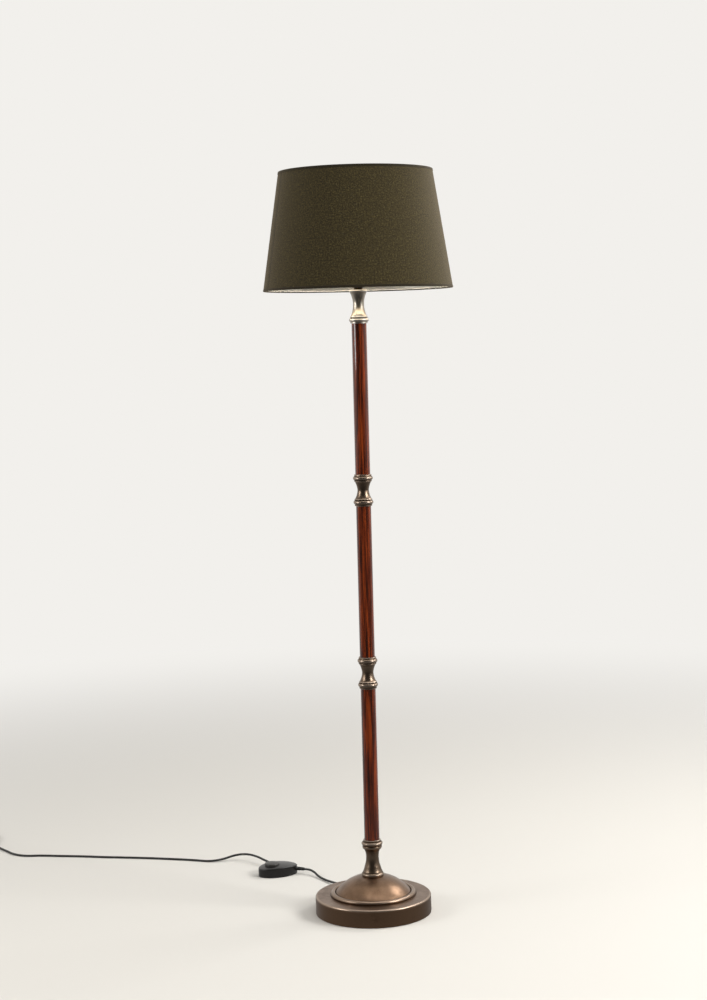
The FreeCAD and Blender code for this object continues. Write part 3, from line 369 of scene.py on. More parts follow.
dome_top, dome_foot, dome_middle = dome_arc(0.0)
inner_top, inner_foot, inner_middle = dome_arc(SKIN)
base_outline = [
    (BASE_R - SKIN, 1.0),
    (BASE_R, 1.0),
    (BASE_R, BASE_TOP - EDGE_R),
    (BASE_R - EDGE_R, BASE_TOP, BASE_R - EDGE_MIDDLE, BASE_TOP - EDGE_MIDDLE),
    (MOULDING_R + 0.6, BASE_TOP),
    (MOULDING_R, BASE_TOP + 0.5),
    dome_foot + ((MOULDING_R + DOME_R) / 2, BASE_TOP + MOULDING_H),
    dome_top + dome_middle,
    (ROD_HOLE_R, DOME_TOP),
    (ROD_HOLE_R, DOME_TOP - SKIN),
    inner_top,
    inner_foot + inner_middle,
    (DOME_R + SKIN, BASE_TOP - SKIN),
    (BASE_R - EDGE_R, BASE_TOP - SKIN),
    (BASE_R - SKIN, BASE_TOP - EDGE_R, BASE_R - INNER_EDGE_MIDDLE, BASE_TOP - INNER_EDGE_MIDDLE),
]
# The spun rings draw the light into a soft streak; brown ageing and paler worn edges lie over it.
spun_pewter = aged_metal("spun_aged_pewter", 0.9, PEWTER_HEX, AGEING_HEX, RUBBED_HEX)
# The drum's outer side is painted darker: a painted reflection of a dark rug, with heavier ageing as well.
base_skin = lathe("base_skin", base_outline, spun_pewter, segments=192, count=20,
                  painted_dark_side=lambda r, z: r > BASE_R - 1 and z < BASE_TOP - EDGE_R - 0.5)
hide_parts("base_shell")
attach(base_skin, "root")

# Underside: weight, plate, screws, nut, washer and felt
# A cast iron slug closed by a zinc-plated plate, which three screws hold; black felt is glued over it all.
def plain_material(name, hex_colour, roughness, metallic=0.0, grain_mm=1.0, spread=0.25, bump_mm=0.03,
                   coat=0.0, coat_roughness=0.1):
    """A moulded, cast or plated surface: two close tones and a fine grain of the stated size."""
    material, tree = start_material(name)
    place = add_node(tree, "ShaderNodeTexCoord").outputs["Object"]
    grain = add_node(tree, "ShaderNodeTexNoise", {"Vector": place, "Scale": 1000 / grain_mm, "Detail": 4.0})
    broad = add_node(tree, "ShaderNodeTexNoise", {"Vector": place, "Scale": 1000 / grain_mm / 14,
                                                  "Detail": 3.0})
    tone = linear(hex_colour)
    low = tuple(c * (1 - spread) for c in tone[:3]) + (1.0,)
    high = tuple(min(c * (1 + spread), 1.0) for c in tone[:3]) + (1.0,)
    mixed = add_node(tree, "ShaderNodeMix", {"Factor": broad.outputs["Fac"], "A": low, "B": high},
                     data_type="RGBA")
    rough = add_node(tree, "ShaderNodeMapRange", {"Value": grain.outputs["Fac"], "From Min": 0.3,
                                                  "From Max": 0.7, "To Min": roughness * 0.85,
                                                  "To Max": min(roughness * 1.15, 1.0)})
    bump = add_node(tree, "ShaderNodeBump", {"Height": grain.outputs["Fac"], "Strength": 0.5,
                                             "Distance": bump_mm * MM})
    shader = add_node(tree, "ShaderNodeBsdfPrincipled", {
        "Base Color": mixed.outputs["Result"], "Metallic": metallic, "Roughness": rough.outputs["Result"],
        "Normal": bump.outputs["Normal"], "Coat Weight": coat, "Coat Roughness": coat_roughness,
    })
    end_material(tree, shader.outputs[0])
    return material


def dress(node, material):
    """Give a carried-over CAD node its finish."""
    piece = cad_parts[node]
    piece.data.materials.clear()
    piece.data.materials.append(material)


# Cast iron is dull, dark and pitted. Zinc plate is a clean pale grey with a soft gleam.
cast_iron = plain_material("sand_cast_iron", "3B3B3A", 0.62, metallic=0.8, grain_mm=2.2, bump_mm=0.3)
zinc_steel = plain_material("zinc_plated_steel", "A9ABA8", 0.34, metallic=1.0, grain_mm=0.8, spread=0.12)
dress("base_weight", cast_iron)
for node in ("base_plate", "plate_screws", "rod_washer", "rod_nut", "rod_lower", "rod_middle", "rod_upper"):
    dress(node, zinc_steel)

FELT_R = 117.0
FELT_H = 2.0
# Pressed felt is flat black and nearly without gloss.
felt_cloth = plain_material("pressed_black_felt", "1C1D1C", 0.95, grain_mm=0.7, spread=0.4, bump_mm=0.5)
felt_pad = lathe("felt_pad", [
    (0, 0), (FELT_R - 0.7, 0), (FELT_R, 0.7, FELT_R - 0.2, 0.2), (FELT_R, 1.4),
    (FELT_R - 0.6, FELT_H, FELT_R - 0.2, FELT_H - 0.15), (0, FELT_H),
], felt_cloth, count=4)
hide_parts("base_felt")
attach(felt_pad, "root")

# Necks and spools
# Turned metal pieces between dome, poles and lampholder, plated and aged like the base.
# Each one is bored for the rod and has a socket that a pole's end sits in. The one at the top is painted
# paler, as painted light from the bulb above it.
POLE_R = 16.0
POLE_EXPOSED = 322.0
SOCKET = 6.0
SOCKET_GAP = 0.1
SOCKET_R = POLE_R + SOCKET_GAP
ROD_BORE_R = 5.05
NECK_TOP = 153.6
SPOOL_H = 67.0
SPOOL_FLARE = 16.4
SPOOL_WAIST_R = 12.1
COLUMN_TOP = NECK_TOP + 3 * POLE_EXPOSED + 2 * SPOOL_H
TOP_NECK_H = 72.0
HOLDER_Z = COLUMN_TOP + TOP_NECK_H
COLLAR_R = 18.5
BEAD_R = 21.3
TURNED_HEX = "776758"
BULB_LIT_HEX = "ABA296"
BULB_LIT_AGEING_HEX = "5B5046"
BULB_LIT_RUBBED_HEX = "D6D1C8"

# Turned metal has finer rings than the spun base, and sharper gleams on its beads.
turned_pewter = aged_metal("turned_aged_pewter", 0.6, TURNED_HEX, AGEING_HEX, RUBBED_HEX)
# A paler copy of the turned pewter for the top neck: painted light from the bulb.
bulb_lit_pewter = aged_metal("turned_pewter_painted_bulb_light", 0.6, BULB_LIT_HEX, BULB_LIT_AGEING_HEX, BULB_LIT_RUBBED_HEX)


def socket_steps(level, direction):
    """Steps of an outline down into a pole's socket, from the collar's lip to the bore."""
    floor_z = level + direction * SOCKET
    steps = [(SOCKET_R, level), (SOCKET_R, floor_z), (ROD_BORE_R, floor_z)]
    return steps if direction < 0 else steps[::-1]


def spool_half(level, sign):
    """Outline from one end of a spool to its waist, or back when sign is negative."""
    steps = [
        (COLLAR_R - 0.4, 0), (COLLAR_R, 0.4), (COLLAR_R, 3.4), (COLLAR_R + 0.4, 4.0),
        (COLLAR_R + 0.4, 11.8, BEAD_R, 7.9), (COLLAR_R - 0.3, 12.4),
        (COLLAR_R + 0.1, 14.6, COLLAR_R + 0.6, 13.5),
        (COLLAR_R - 1.6, SPOOL_FLARE),
        (SPOOL_WAIST_R, SPOOL_H / 2, SPOOL_WAIST_R + 1.4, SPOOL_FLARE + (SPOOL_H / 2 - SPOOL_FLARE) * 0.52),
    ]
    placed = [tuple(level + sign * value if i % 2 else value for i, value in enumerate(step))
              for step in steps]
    if sign > 0:
        return placed
    back = [placed[-1][:2]]
    for here, before in zip(reversed(placed), list(reversed(placed))[1:]):
        back.append(before[:2] + here[2:])
    return back[1:]


base_neck = lathe("neck_of_base", socket_steps(NECK_TOP, -1)[2:] + [
    (ROD_BORE_R, DOME_TOP), (22.4, DOME_TOP), (22.9, DOME_TOP + 0.6),
    (22.4, DOME_TOP + 6.2, 23.8, DOME_TOP + 3.2),
    (21.0, DOME_TOP + 7.4), (20.9, DOME_TOP + 9.0), (17.2, DOME_TOP + 19.2, 18.5, DOME_TOP + 14.6),
    (13.5, DOME_TOP + 40.0, 14.3, DOME_TOP + 29.5), (16.3, NECK_TOP - 21.6, 14.2, NECK_TOP - 29.0),
    (19.6, NECK_TOP - 18.4), (19.8, NECK_TOP - 12.6, 20.8, NECK_TOP - 15.5), (20.2, NECK_TOP - 11.6),
    (20.2, NECK_TOP - 4.2, 22.5, NECK_TOP - 7.9), (COLLAR_R, NECK_TOP - 3.4), (COLLAR_R, NECK_TOP - 0.4),
    (COLLAR_R - 0.4, NECK_TOP),
] + socket_steps(NECK_TOP, -1)[:2], turned_pewter)
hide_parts("base_neck")

spools = []
for i, node in enumerate(("coupling_lower", "coupling_middle")):
    low = NECK_TOP + (i + 1) * POLE_EXPOSED + i * SPOOL_H
    high = low + SPOOL_H
    outline = socket_steps(low, 1) + spool_half(low, 1) + spool_half(high, -1) + socket_steps(high, -1)
    spool = lathe("spool_" + node.split("_")[1], outline, turned_pewter)
    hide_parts(node)
    spools.append(spool)

top_neck = lathe("neck_of_holder", socket_steps(COLUMN_TOP, 1) + [
    (COLLAR_R - 0.4, COLUMN_TOP), (COLLAR_R, COLUMN_TOP + 0.4), (COLLAR_R, COLUMN_TOP + 3.2),
    (COLLAR_R + 0.4, COLUMN_TOP + 3.6), (COLLAR_R + 0.4, COLUMN_TOP + 10.6, BEAD_R, COLUMN_TOP + 7.1),
    (COLLAR_R - 0.4, COLUMN_TOP + 11.6), (18.2, COLUMN_TOP + 14.8, 18.8, COLUMN_TOP + 13.2),
    (16.6, COLUMN_TOP + 16.8), (11.9, COLUMN_TOP + 40.0, 13.2, COLUMN_TOP + 27.0),
    (16.0, HOLDER_Z - 10.0, 13.0, HOLDER_Z - 20.0), (17.8, HOLDER_Z - 6.0), (18.6, HOLDER_Z - 5.0),
    (18.8, HOLDER_Z - 0.5, 20.2, HOLDER_Z - 2.6), (16.0, HOLDER_Z), (ROD_BORE_R, HOLDER_Z),
], bulb_lit_pewter)
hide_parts("top_neck")
for piece in [base_neck, top_neck] + spools:
    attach(piece, "root")

# Poles
# Three lengths of hardwood dowel, stained a red mahogany and finished in gloss lacquer.
# The grain runs up the pole in long narrow streaks with short dark pores.
POLE_BORE_R = 5.3
POLE_CHAMFER = 0.8
WOOD_DARK_HEX = "1C0701"
WOOD_MID_HEX = "4E1904"
WOOD_WARM_HEX = "8A380C"


# The wood gives deep red-brown streaks, and its gloss coat long pale gleams up the pole.
lacquered_wood, tree = start_material("mahogany_gloss_lacquer")
place = add_node(tree, "ShaderNodeTexCoord").outputs["Object"]
lengthwise = add_node(tree, "ShaderNodeMapping", {"Vector": place, "Scale": (1.0, 1.0, 0.035)})
streaks = add_node(tree, "ShaderNodeTexNoise", {"Vector": lengthwise.outputs[0], "Scale": 240.0,
                                                "Detail": 6.0, "Roughness": 0.6, "Distortion": 0.4})
broad = add_node(tree, "ShaderNodeTexNoise", {"Vector": lengthwise.outputs[0], "Scale": 60.0, "Detail": 2.0})
pore_map = add_node(tree, "ShaderNodeMapping", {"Vector": place, "Scale": (1.0, 1.0, 0.09)})
pores = add_node(tree, "ShaderNodeTexVoronoi", {"Vector": pore_map.outputs[0], "Scale": 900.0})
pore_mask = add_node(tree, "ShaderNodeMapRange", {"Value": pores.outputs["Distance"], "From Min": 0.22,
                                                  "From Max": 0.10})
tone = add_node(tree, "ShaderNodeValToRGB", {"Fac": streaks.outputs["Fac"]})
tone.color_ramp.elements[0].position = 0.39
tone.color_ramp.elements[0].color = linear(WOOD_DARK_HEX)
tone.color_ramp.elements[1].position = 0.63
tone.color_ramp.elements[1].color = linear(WOOD_WARM_HEX)
middle_tone = tone.color_ramp.elements.new(0.5)
middle_tone.color = linear(WOOD_MID_HEX)
softened = add_node(tree, "ShaderNodeMath", {0: broad.outputs["Fac"], 1: 0.5}, operation="MULTIPLY")
shaded = add_node(tree, "ShaderNodeMix", {"Factor": softened.outputs["Value"], "A": tone.outputs["Color"],
                                          "B": linear(WOOD_MID_HEX)}, data_type="RGBA")
pored = add_node(tree, "ShaderNodeMix", {"Factor": pore_mask.outputs["Result"], "A": shaded.outputs["Result"],
                                         "B": linear(WOOD_DARK_HEX)}, data_type="RGBA")
bump = add_node(tree, "ShaderNodeBump", {"Height": streaks.outputs["Fac"], "Strength": 0.12,
                                         "Distance": 0.0002})
shader = add_node(tree, "ShaderNodeBsdfPrincipled", {
    "Base Color": pored.outputs["Result"], "Roughness": 0.5, "Normal": bump.outputs["Normal"],
    "Specular IOR Level": 0.05, "Coat Weight": 1.0, "Coat Roughness": 0.07, "Coat IOR": 1.5,
})
end_material(tree, shader.outputs[0])

for i, name in enumerate(("lower", "middle", "upper")):
    low = NECK_TOP + i * (POLE_EXPOSED + SPOOL_H) - SOCKET
    high = low + POLE_EXPOSED + 2 * SOCKET
    dowel = lathe("dowel_" + name, [
        (POLE_BORE_R, low), (POLE_R - POLE_CHAMFER, low),
        (POLE_R, low + POLE_CHAMFER), (POLE_R, low + SOCKET),
        (POLE_R, high - SOCKET), (POLE_R, high - POLE_CHAMFER),
        (POLE_R - POLE_CHAMFER, high), (POLE_BORE_R, high),
    ], lacquered_wood)
    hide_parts("pole_" + name)
    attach(dowel, "root")

# Lampholder and shade rings
# A metal cap on the rod's end, a black moulded skirt, a ceramic core with brass contacts, and two grip rings.
def smooth_copy(name, node, material, body="root", angle=32.0):
    """A merged copy of a CAD node, shaded smooth over its curved faces."""
    shape = bmesh.new()
    shape.from_mesh(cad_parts[node].data)
    bmesh.ops.remove_doubles(shape, verts=shape.verts, dist=1e-6)
    bmesh.ops.dissolve_degenerate(shape, edges=shape.edges, dist=1e-7)
    bmesh.ops.recalc_face_normals(shape, faces=shape.faces)
    level = shape.verts.layers.float.new("relief")
    for vert in shape.verts:
        vert[level] = 0.5
    mesh = bpy.data.meshes.new(name)
    shape.to_mesh(mesh)
    shape.free()
    mesh.shade_smooth()
    mesh.set_sharp_from_angle(angle=math.radians(angle))
    piece = link_piece(name, mesh, material)
    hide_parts(node)
    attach(piece, body)
    return piece


# Phenolic is a deep black with a soft gloss, porcelain a wet white, and brass a warm yellow.
black_moulding = plain_material("moulded_black_phenolic", "12100E", 0.38, grain_mm=0.9, spread=0.3,
                                bump_mm=0.02)
porcelain = plain_material("glazed_porcelain", "E4E1D6", 0.18, grain_mm=3.0, spread=0.04, coat=0.6)
brass = plain_material("stamped_brass", "C79A4B", 0.28, metallic=1.0, grain_mm=0.6, spread=0.1)
smooth_copy("holder_cap", "lampholder_cap", turned_pewter)
smooth_copy("holder_core", "lampholder_core", porcelain)
smooth_copy("holder_skirt", "lampholder_skirt", black_moulding)
smooth_copy("grip_ring_lower", "shade_ring_lower", black_moulding)
smooth_copy("grip_ring_upper", "shade_ring_upper", black_moulding)
for node in ("lampholder_contacts", "terminal_screws", "switch_terminals"):
    dress(node, brass)

# Bulb
# A pear-shaped bulb with an opal coat inside the glass, lit; its cap is rolled aluminium with a solder tip.
BULB_Z = HOLDER_Z + 38.0
BULB_H = 105.0
BULB_TOP = BULB_Z + BULB_H
BULB_R = 30.0
BULB_SEAT_R = 9.9
BULB_NECK_R = 13.6
BULB_FOOT = BULB_Z + 24.0
BULB_GLOW = 25.0
GLOW_HEX = "FFF3E2"

# The opal coat hides the filament, so the bulb is one warm glow that dims towards its neck.
lit_glass, tree = start_material("opal_glass_lit")
place = add_node(tree, "ShaderNodeTexCoord").outputs["Object"]
height = add_node(tree, "ShaderNodeSeparateXYZ", {0: place})
even = add_node(tree, "ShaderNodeMapRange", {"Value": height.outputs["Z"], "From Min": (BULB_Z + 20) * MM,
                                             "From Max": (BULB_Z + 60) * MM, "To Min": 0.35, "To Max": 1.0})
coat_grain = add_node(tree, "ShaderNodeTexNoise", {"Vector": place, "Scale": 900.0})
rough = add_node(tree, "ShaderNodeMapRange", {"Value": coat_grain.outputs["Fac"], "To Min": 0.08,
                                              "To Max": 0.2})
power = add_node(tree, "ShaderNodeMath", {0: even.outputs["Result"], 1: BULB_GLOW}, operation="MULTIPLY")
shader = add_node(tree, "ShaderNodeBsdfPrincipled", {
    "Base Color": linear("F6EFE2"), "Roughness": rough.outputs["Result"], "IOR": 1.5,
    "Emission Color": linear(GLOW_HEX), "Emission Strength": power.outputs["Value"],
})
end_material(tree, shader.outputs[0])

ball_z = BULB_TOP - BULB_R
join = (BULB_R * math.cos(math.radians(30)), ball_z - BULB_R * math.sin(math.radians(30)))
crown_side = (BULB_R * math.cos(math.radians(25)), ball_z + BULB_R * math.sin(math.radians(25)))
envelope = lathe("bulb_envelope", [
    (0, BULB_FOOT - 4), (BULB_SEAT_R, BULB_FOOT - 4), (BULB_SEAT_R, BULB_FOOT),
    (BULB_NECK_R, BULB_FOOT + 1.5),
    join + ((BULB_NECK_R + join[0]) / 2 - 2.5, (BULB_FOOT + join[1]) / 2 + 1.5), (0, BULB_TOP) + crown_side,
], lit_glass, segments=96, count=24)
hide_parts("bulb_glass")
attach(envelope, "bulb")
# Rolled aluminium is a pale grey with a soft gleam.
rolled_cap = plain_material("rolled_aluminium", "B9BABC", 0.3, metallic=1.0, grain_mm=0.7, spread=0.1)
dress("bulb_cap", rolled_cap)
dress("bulb_insulator", black_moulding)
dress("bulb_tip", zinc_steel)

# Shade
# A tapered drum: linen cloth laminated to a pale silvered liner, rolled over a wire hoop at each end.
# The cloth overlaps itself in one upright seam on the left; a three-armed carrier sits in its foot.
SHADE_Z = HOLDER_Z - 0.3
SHADE_H = 254.0
SHADE_FOOT_R = 203.0
SHADE_HEAD_R = 165.0
TAPE = 0.6
CLOTH = 0.7
LINER = 0.5
HOOP_R = 1.7
SEAM_ANGLE = math.radians(198.0)
SEAM_W = 11.0
SEAM_SWELL = 0.24
HEM_H = 3.0
HEM_ROUND = 1.3
HEM_MIDDLE = 0.38
SHADE_SEGMENTS = 192
CLOTH_HEX = "30280F"
CLOTH_LIGHT_HEX = "524724"
CLOTH_DARK_HEX = "1B1608"
THREAD_MM = 1.1


def cone_radius(z):
    return SHADE_FOOT_R + (SHADE_HEAD_R - SHADE_FOOT_R) * (z - SHADE_Z) / SHADE_H - TAPE


def woven_cloth(name, painted_shade_scale, shadow_and_glue_lines=False):
    """Plain weave of slubby threads, drawn 1.1 mm apart, coarser than the real 0.6 mm, so that it shows."""
    material, tree = start_material(name)
    uv = add_node(tree, "ShaderNodeUVMap", uv_map="cloth").outputs["UV"]
    axes = add_node(tree, "ShaderNodeSeparateXYZ", {0: uv})
    waves = []
    for axis in ("X", "Y"):
        phase = add_node(tree, "ShaderNodeMath", {0: axes.outputs[axis], 1: math.pi * 1000 / THREAD_MM},
                         operation="MULTIPLY")
        waves.append(add_node(tree, "ShaderNodeMath", {0: phase.outputs["Value"]}, operation="SINE"))
    over = add_node(tree, "ShaderNodeMath", {0: waves[0].outputs["Value"], 1: waves[1].outputs["Value"]},
                    operation="MULTIPLY")
    height = add_node(tree, "ShaderNodeMath", {0: over.outputs["Value"], 1: 0.5, 2: 0.5},
                      operation="MULTIPLY_ADD")
    slubs = []
    for stretch in ((60.0, 900.0, 1.0), (900.0, 60.0, 1.0)):
        along = add_node(tree, "ShaderNodeMapping", {"Vector": uv, "Scale": stretch})
        slubs.append(add_node(tree, "ShaderNodeTexNoise", {"Vector": along.outputs[0], "Scale": 1.0,
                                                           "Detail": 3.0, "Roughness": 0.65}))
    slub = add_node(tree, "ShaderNodeMix", {"Factor": 0.5, "A": slubs[0].outputs["Fac"],
                                            "B": slubs[1].outputs["Fac"]}, data_type="FLOAT")
    woven = add_node(tree, "ShaderNodeMath", {0: height.outputs["Value"], 1: 0.30, 2: slub.outputs["Result"]},
                     operation="MULTIPLY_ADD")
    flecks = add_node(tree, "ShaderNodeTexNoise", {"Vector": uv, "Scale": 300.0, "Detail": 3.0,
                                                   "Roughness": 0.8})
    fleck = add_node(tree, "ShaderNodeMath", {0: flecks.outputs["Fac"], 1: 0.5}, operation="SUBTRACT")
    thread = add_node(tree, "ShaderNodeMath", {0: fleck.outputs["Value"], 1: 1.5, 2: woven.outputs["Value"]},
                      operation="MULTIPLY_ADD")
    tone = add_node(tree, "ShaderNodeValToRGB", {"Fac": thread.outputs["Value"]})
    tone.color_ramp.elements[0].position = 0.36
    # painted_shade_scale darkens all three tones alike as painted shade; at 1.0 there is none.
    tone.color_ramp.elements[0].color = tuple(c * painted_shade_scale for c in linear(CLOTH_DARK_HEX)[:3]) + (1.0,)
    tone.color_ramp.elements[1].position = 1.0
    tone.color_ramp.elements[1].color = tuple(c * painted_shade_scale for c in linear(CLOTH_LIGHT_HEX)[:3]) + (1.0,)
    middle = tone.color_ramp.elements.new(0.66)
    middle.color = tuple(c * painted_shade_scale for c in linear(CLOTH_HEX)[:3]) + (1.0,)
    colour = tone.outputs["Color"]
    if shadow_and_glue_lines:
        # Dark bands near both edges of the overlap: painted shadow of its raised edge, and its glue line.
        across = add_node(tree, "ShaderNodeAttribute", attribute_name="across")
        edge_shadow_and_glue = add_node(tree, "ShaderNodeValToRGB", {"Fac": across.outputs["Fac"]})
        edge_shadow_and_glue.color_ramp.interpolation = "EASE"
        edge_shadow_and_glue.color_ramp.elements[0].color = (0.12, 0.12, 0.12, 1)
        edge_shadow_and_glue.color_ramp.elements[1].color = (0.12, 0.12, 0.12, 1)
        for spot, level in ((0.16, 0.12), (0.26, 1.0), (0.68, 1.0), (0.78, 0.12)):
            edge_shadow_and_glue.color_ramp.elements.new(spot).color = (level, level, level, 1)
        colour = add_node(tree, "ShaderNodeMix", {"Factor": 1.0, "A": colour, "B": edge_shadow_and_glue.outputs["Color"]},
                          data_type="RGBA", blend_type="MULTIPLY").outputs["Result"]
    bump = add_node(tree, "ShaderNodeBump", {"Height": thread.outputs["Value"], "Strength": 0.6,
                                             "Distance": 0.0004})
    shader = add_node(tree, "ShaderNodeBsdfPrincipled", {
        "Base Color": colour, "Roughness": 0.86, "Normal": bump.outputs["Normal"],
        "Sheen Weight": 0.22, "Sheen Roughness": 0.5, "Sheen Tint": linear("FFEBCF"),
        "Specular IOR Level": 0.2,
    })
    end_material(tree, shader.outputs[0])
    return material


# Linen is matt and dark olive, with lighter threads. Its rolled edge is painted darker, as painted shade in
# the roll, and the overlap has painted shadow along its edges with a dark glue line.
linen = woven_cloth("woven_linen_olive", 1.0)
shaded_linen_edge = woven_cloth("woven_linen_rolled_edge_painted_shade", 0.45)
linen_seam = woven_cloth("woven_linen_overlap", 1.0, shadow_and_glue_lines=True)


def wrapped_sheet(name, low, high, inner, outer, material, first=0.0, sweep=2 * math.pi, rows=24,
                  columns=SHADE_SEGMENTS, swell=None):
    """A closed sheet on the shade's cone, between two offsets from it, with a UV map in metres."""
    closed = sweep > 6.28
    shape = bmesh.new()
    uv_layer = shape.loops.layers.uv.new("cloth")
    across_layer = shape.verts.layers.float.new("across")
    count = columns if closed else columns + 1
    grid = []
    for side in (outer, inner):
        layer = []
        for i in range(rows + 1):
            z = low + (high - low) * i / rows
            ring = []
            for k in range(count):
                share = k / columns
                angle = first + sweep * share
                lift = swell(share, i / rows) if swell and side == outer else 0.0
                radius = cone_radius(z) + side + lift
                spot = Vector((radius * math.cos(angle), radius * math.sin(angle), z)) * MM
                ring.append(shape.verts.new(spot))
                ring[-1][across_layer] = share
            layer.append(ring)
        grid.append(layer)

    def face(corners, spots):
        made = shape.faces.new(corners)
        for loop, spot in zip(made.loops, spots):
            loop[uv_layer].uv = spot

    middle_r = (SHADE_FOOT_R + SHADE_HEAD_R) / 2
    steps = columns if closed else count - 1
    for layer, flip in ((grid[0], False), (grid[1], True)):
        for i in range(rows):
            for k in range(steps):
                j = (k + 1) % count
                corners = [layer[i][k], layer[i][j], layer[i + 1][j], layer[i + 1][k]]
                u0 = (first + sweep * k / columns) * middle_r * MM
                u1 = (first + sweep * (k + 1) / columns) * middle_r * MM
                v0 = (low + (high - low) * i / rows) * MM
                v1 = (low + (high - low) * (i + 1) / rows) * MM
                spots = [(u0, v0), (u1, v0), (u1, v1), (u0, v1)]
                face(corners[::-1] if flip else corners, spots[::-1] if flip else spots)
    for i, flip in ((0, True), (rows, False)):
        for k in range(steps):
            j = (k + 1) % count
            corners = [grid[0][i][k], grid[0][i][j], grid[1][i][j], grid[1][i][k]]
            face(corners[::-1] if flip else corners, [(0, 0)] * 4)
    if not closed:
        for k, flip in ((0, False), (count - 1, True)):
            for i in range(rows):
                corners = [grid[0][i][k], grid[0][i + 1][k], grid[1][i + 1][k], grid[1][i][k]]
                face(corners[::-1] if flip else corners, [(0, 0)] * 4)
    bmesh.ops.recalc_face_normals(shape, faces=shape.faces)
    mesh = bpy.data.meshes.new(name)
    shape.to_mesh(mesh)
    shape.free()
    mesh.shade_smooth()
    mesh.set_sharp_from_angle(angle=math.radians(50))
    return link_piece(name, mesh, material)


# Silvered laminate is a pale satin sheet that throws back the bulb's light.
silvered, tree = start_material("silvered_laminate")
place = add_node(tree, "ShaderNodeTexCoord").outputs["Object"]
mottle = add_node(tree, "ShaderNodeTexNoise", {"Vector": place, "Scale": 60.0, "Detail": 5.0})
fleck = add_node(tree, "ShaderNodeTexNoise", {"Vector": place, "Scale": 700.0, "Detail": 2.0})
tone = add_node(tree, "ShaderNodeMix", {"Factor": mottle.outputs["Fac"], "A": linear("D8D4C8"),
                                        "B": linear("ECE9E0")}, data_type="RGBA")
rough = add_node(tree, "ShaderNodeMapRange", {"Value": fleck.outputs["Fac"], "To Min": 0.30, "To Max": 0.36})
shader = add_node(tree, "ShaderNodeBsdfPrincipled", {"Base Color": tone.outputs["Result"], "Metallic": 0.85,
                                                     "Roughness": rough.outputs["Result"]})
end_material(tree, shader.outputs[0])

cloth_low = SHADE_Z + TAPE + 0.05
cloth_high = SHADE_Z + SHADE_H - TAPE - 0.05
cloth = wrapped_sheet("shade_cloth", cloth_low, cloth_high, -CLOTH, 0.0, linen, first=SEAM_ANGLE)
liner = wrapped_sheet("shade_liner", cloth_low, cloth_high, -CLOTH - LINER, -CLOTH - 0.02, silvered)
seam_sweep = SEAM_W / SHADE_FOOT_R
seam_end = 2 * HOOP_R + HEM_H
seam = wrapped_sheet(
    "seam_overlap", SHADE_Z + seam_end, SHADE_Z + SHADE_H - seam_end, 0.0, 0.16, linen_seam,
    first=SEAM_ANGLE, sweep=seam_sweep, columns=24,
    swell=lambda across, up: (SEAM_SWELL * math.sin(math.pi * min(across / 0.28, 1.0))
                              + SEAM_SWELL / 3 * math.sin(19 * up) * across),
)
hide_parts("shade_cover")
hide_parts("shade_lining")
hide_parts("shade_seam")


def rolled_edge(name, level, side):
    """Cloth rolled over the hoop: level is the shade's end, side points into the shade."""
    z = level + side * (HOOP_R + TAPE)
    hoop_r = cone_radius(z) - CLOTH - LINER - HOOP_R - 0.12
    wrap = HOOP_R + TAPE
    tail = z + side * HEM_H
    outer = cone_radius(z) + TAPE
    outer_tail = cone_radius(tail) + TAPE
    edge = z - side * wrap
    slant = wrap * math.sqrt(0.5)
    return lathe(name, [
        (hoop_r - wrap, z), (hoop_r, edge, hoop_r - slant, z - side * slant),
        (outer - HEM_ROUND, edge),
        (outer, edge + side * HEM_ROUND, outer - HEM_MIDDLE, edge + side * HEM_MIDDLE),
        (outer_tail, tail - side * 0.4), (outer_tail - 0.45, tail), (outer_tail - TAPE + 0.02, tail),
        (cone_radius(z) + 0.02, z), (cone_radius(z) + 0.02, edge + side * TAPE),
        (hoop_r + HOOP_R, edge + side * TAPE), (hoop_r + HOOP_R + 0.1, z),
        (hoop_r - HOOP_R - 0.1, z, hoop_r, z - side * (HOOP_R + 0.1)),
    ], shaded_linen_edge, segments=SHADE_SEGMENTS, count=8)


edges = [rolled_edge("rolled_edge_foot", SHADE_Z, 1), rolled_edge("rolled_edge_head", SHADE_Z + SHADE_H, -1)]
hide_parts("bottom_binding")
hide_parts("top_binding")
for piece, slot in ((cloth, "shade_fabric"), (seam, "shade_fabric"), (liner, "shade_lining"),
                    (edges[0], "shade_tape"), (edges[1], "shade_tape")):
    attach(piece, "shade")
# Powder coat is an even off-white with a low gloss.
white_wire = plain_material("white_powder_coat", "DAD7CE", 0.4, grain_mm=0.8, spread=0.05, bump_mm=0.05)
smooth_copy("wire_carrier", "shade_spider", white_wire, body="shade")
smooth_copy("wire_hoop_foot", "bottom_hoop", white_wire, body="shade")
smooth_copy("wire_hoop_head", "top_hoop", white_wire, body="shade")

# Slubs of the cloth
# Thick places in the yarn stand a little proud of the weave, some along the warp and some along the weft.
SLUB_LENGTH = 5.0
SLUB_R = 0.16
SLUBS_PER_M2 = 9000.0
SLUB_SEED = 7
BED_MARGIN = 5.0

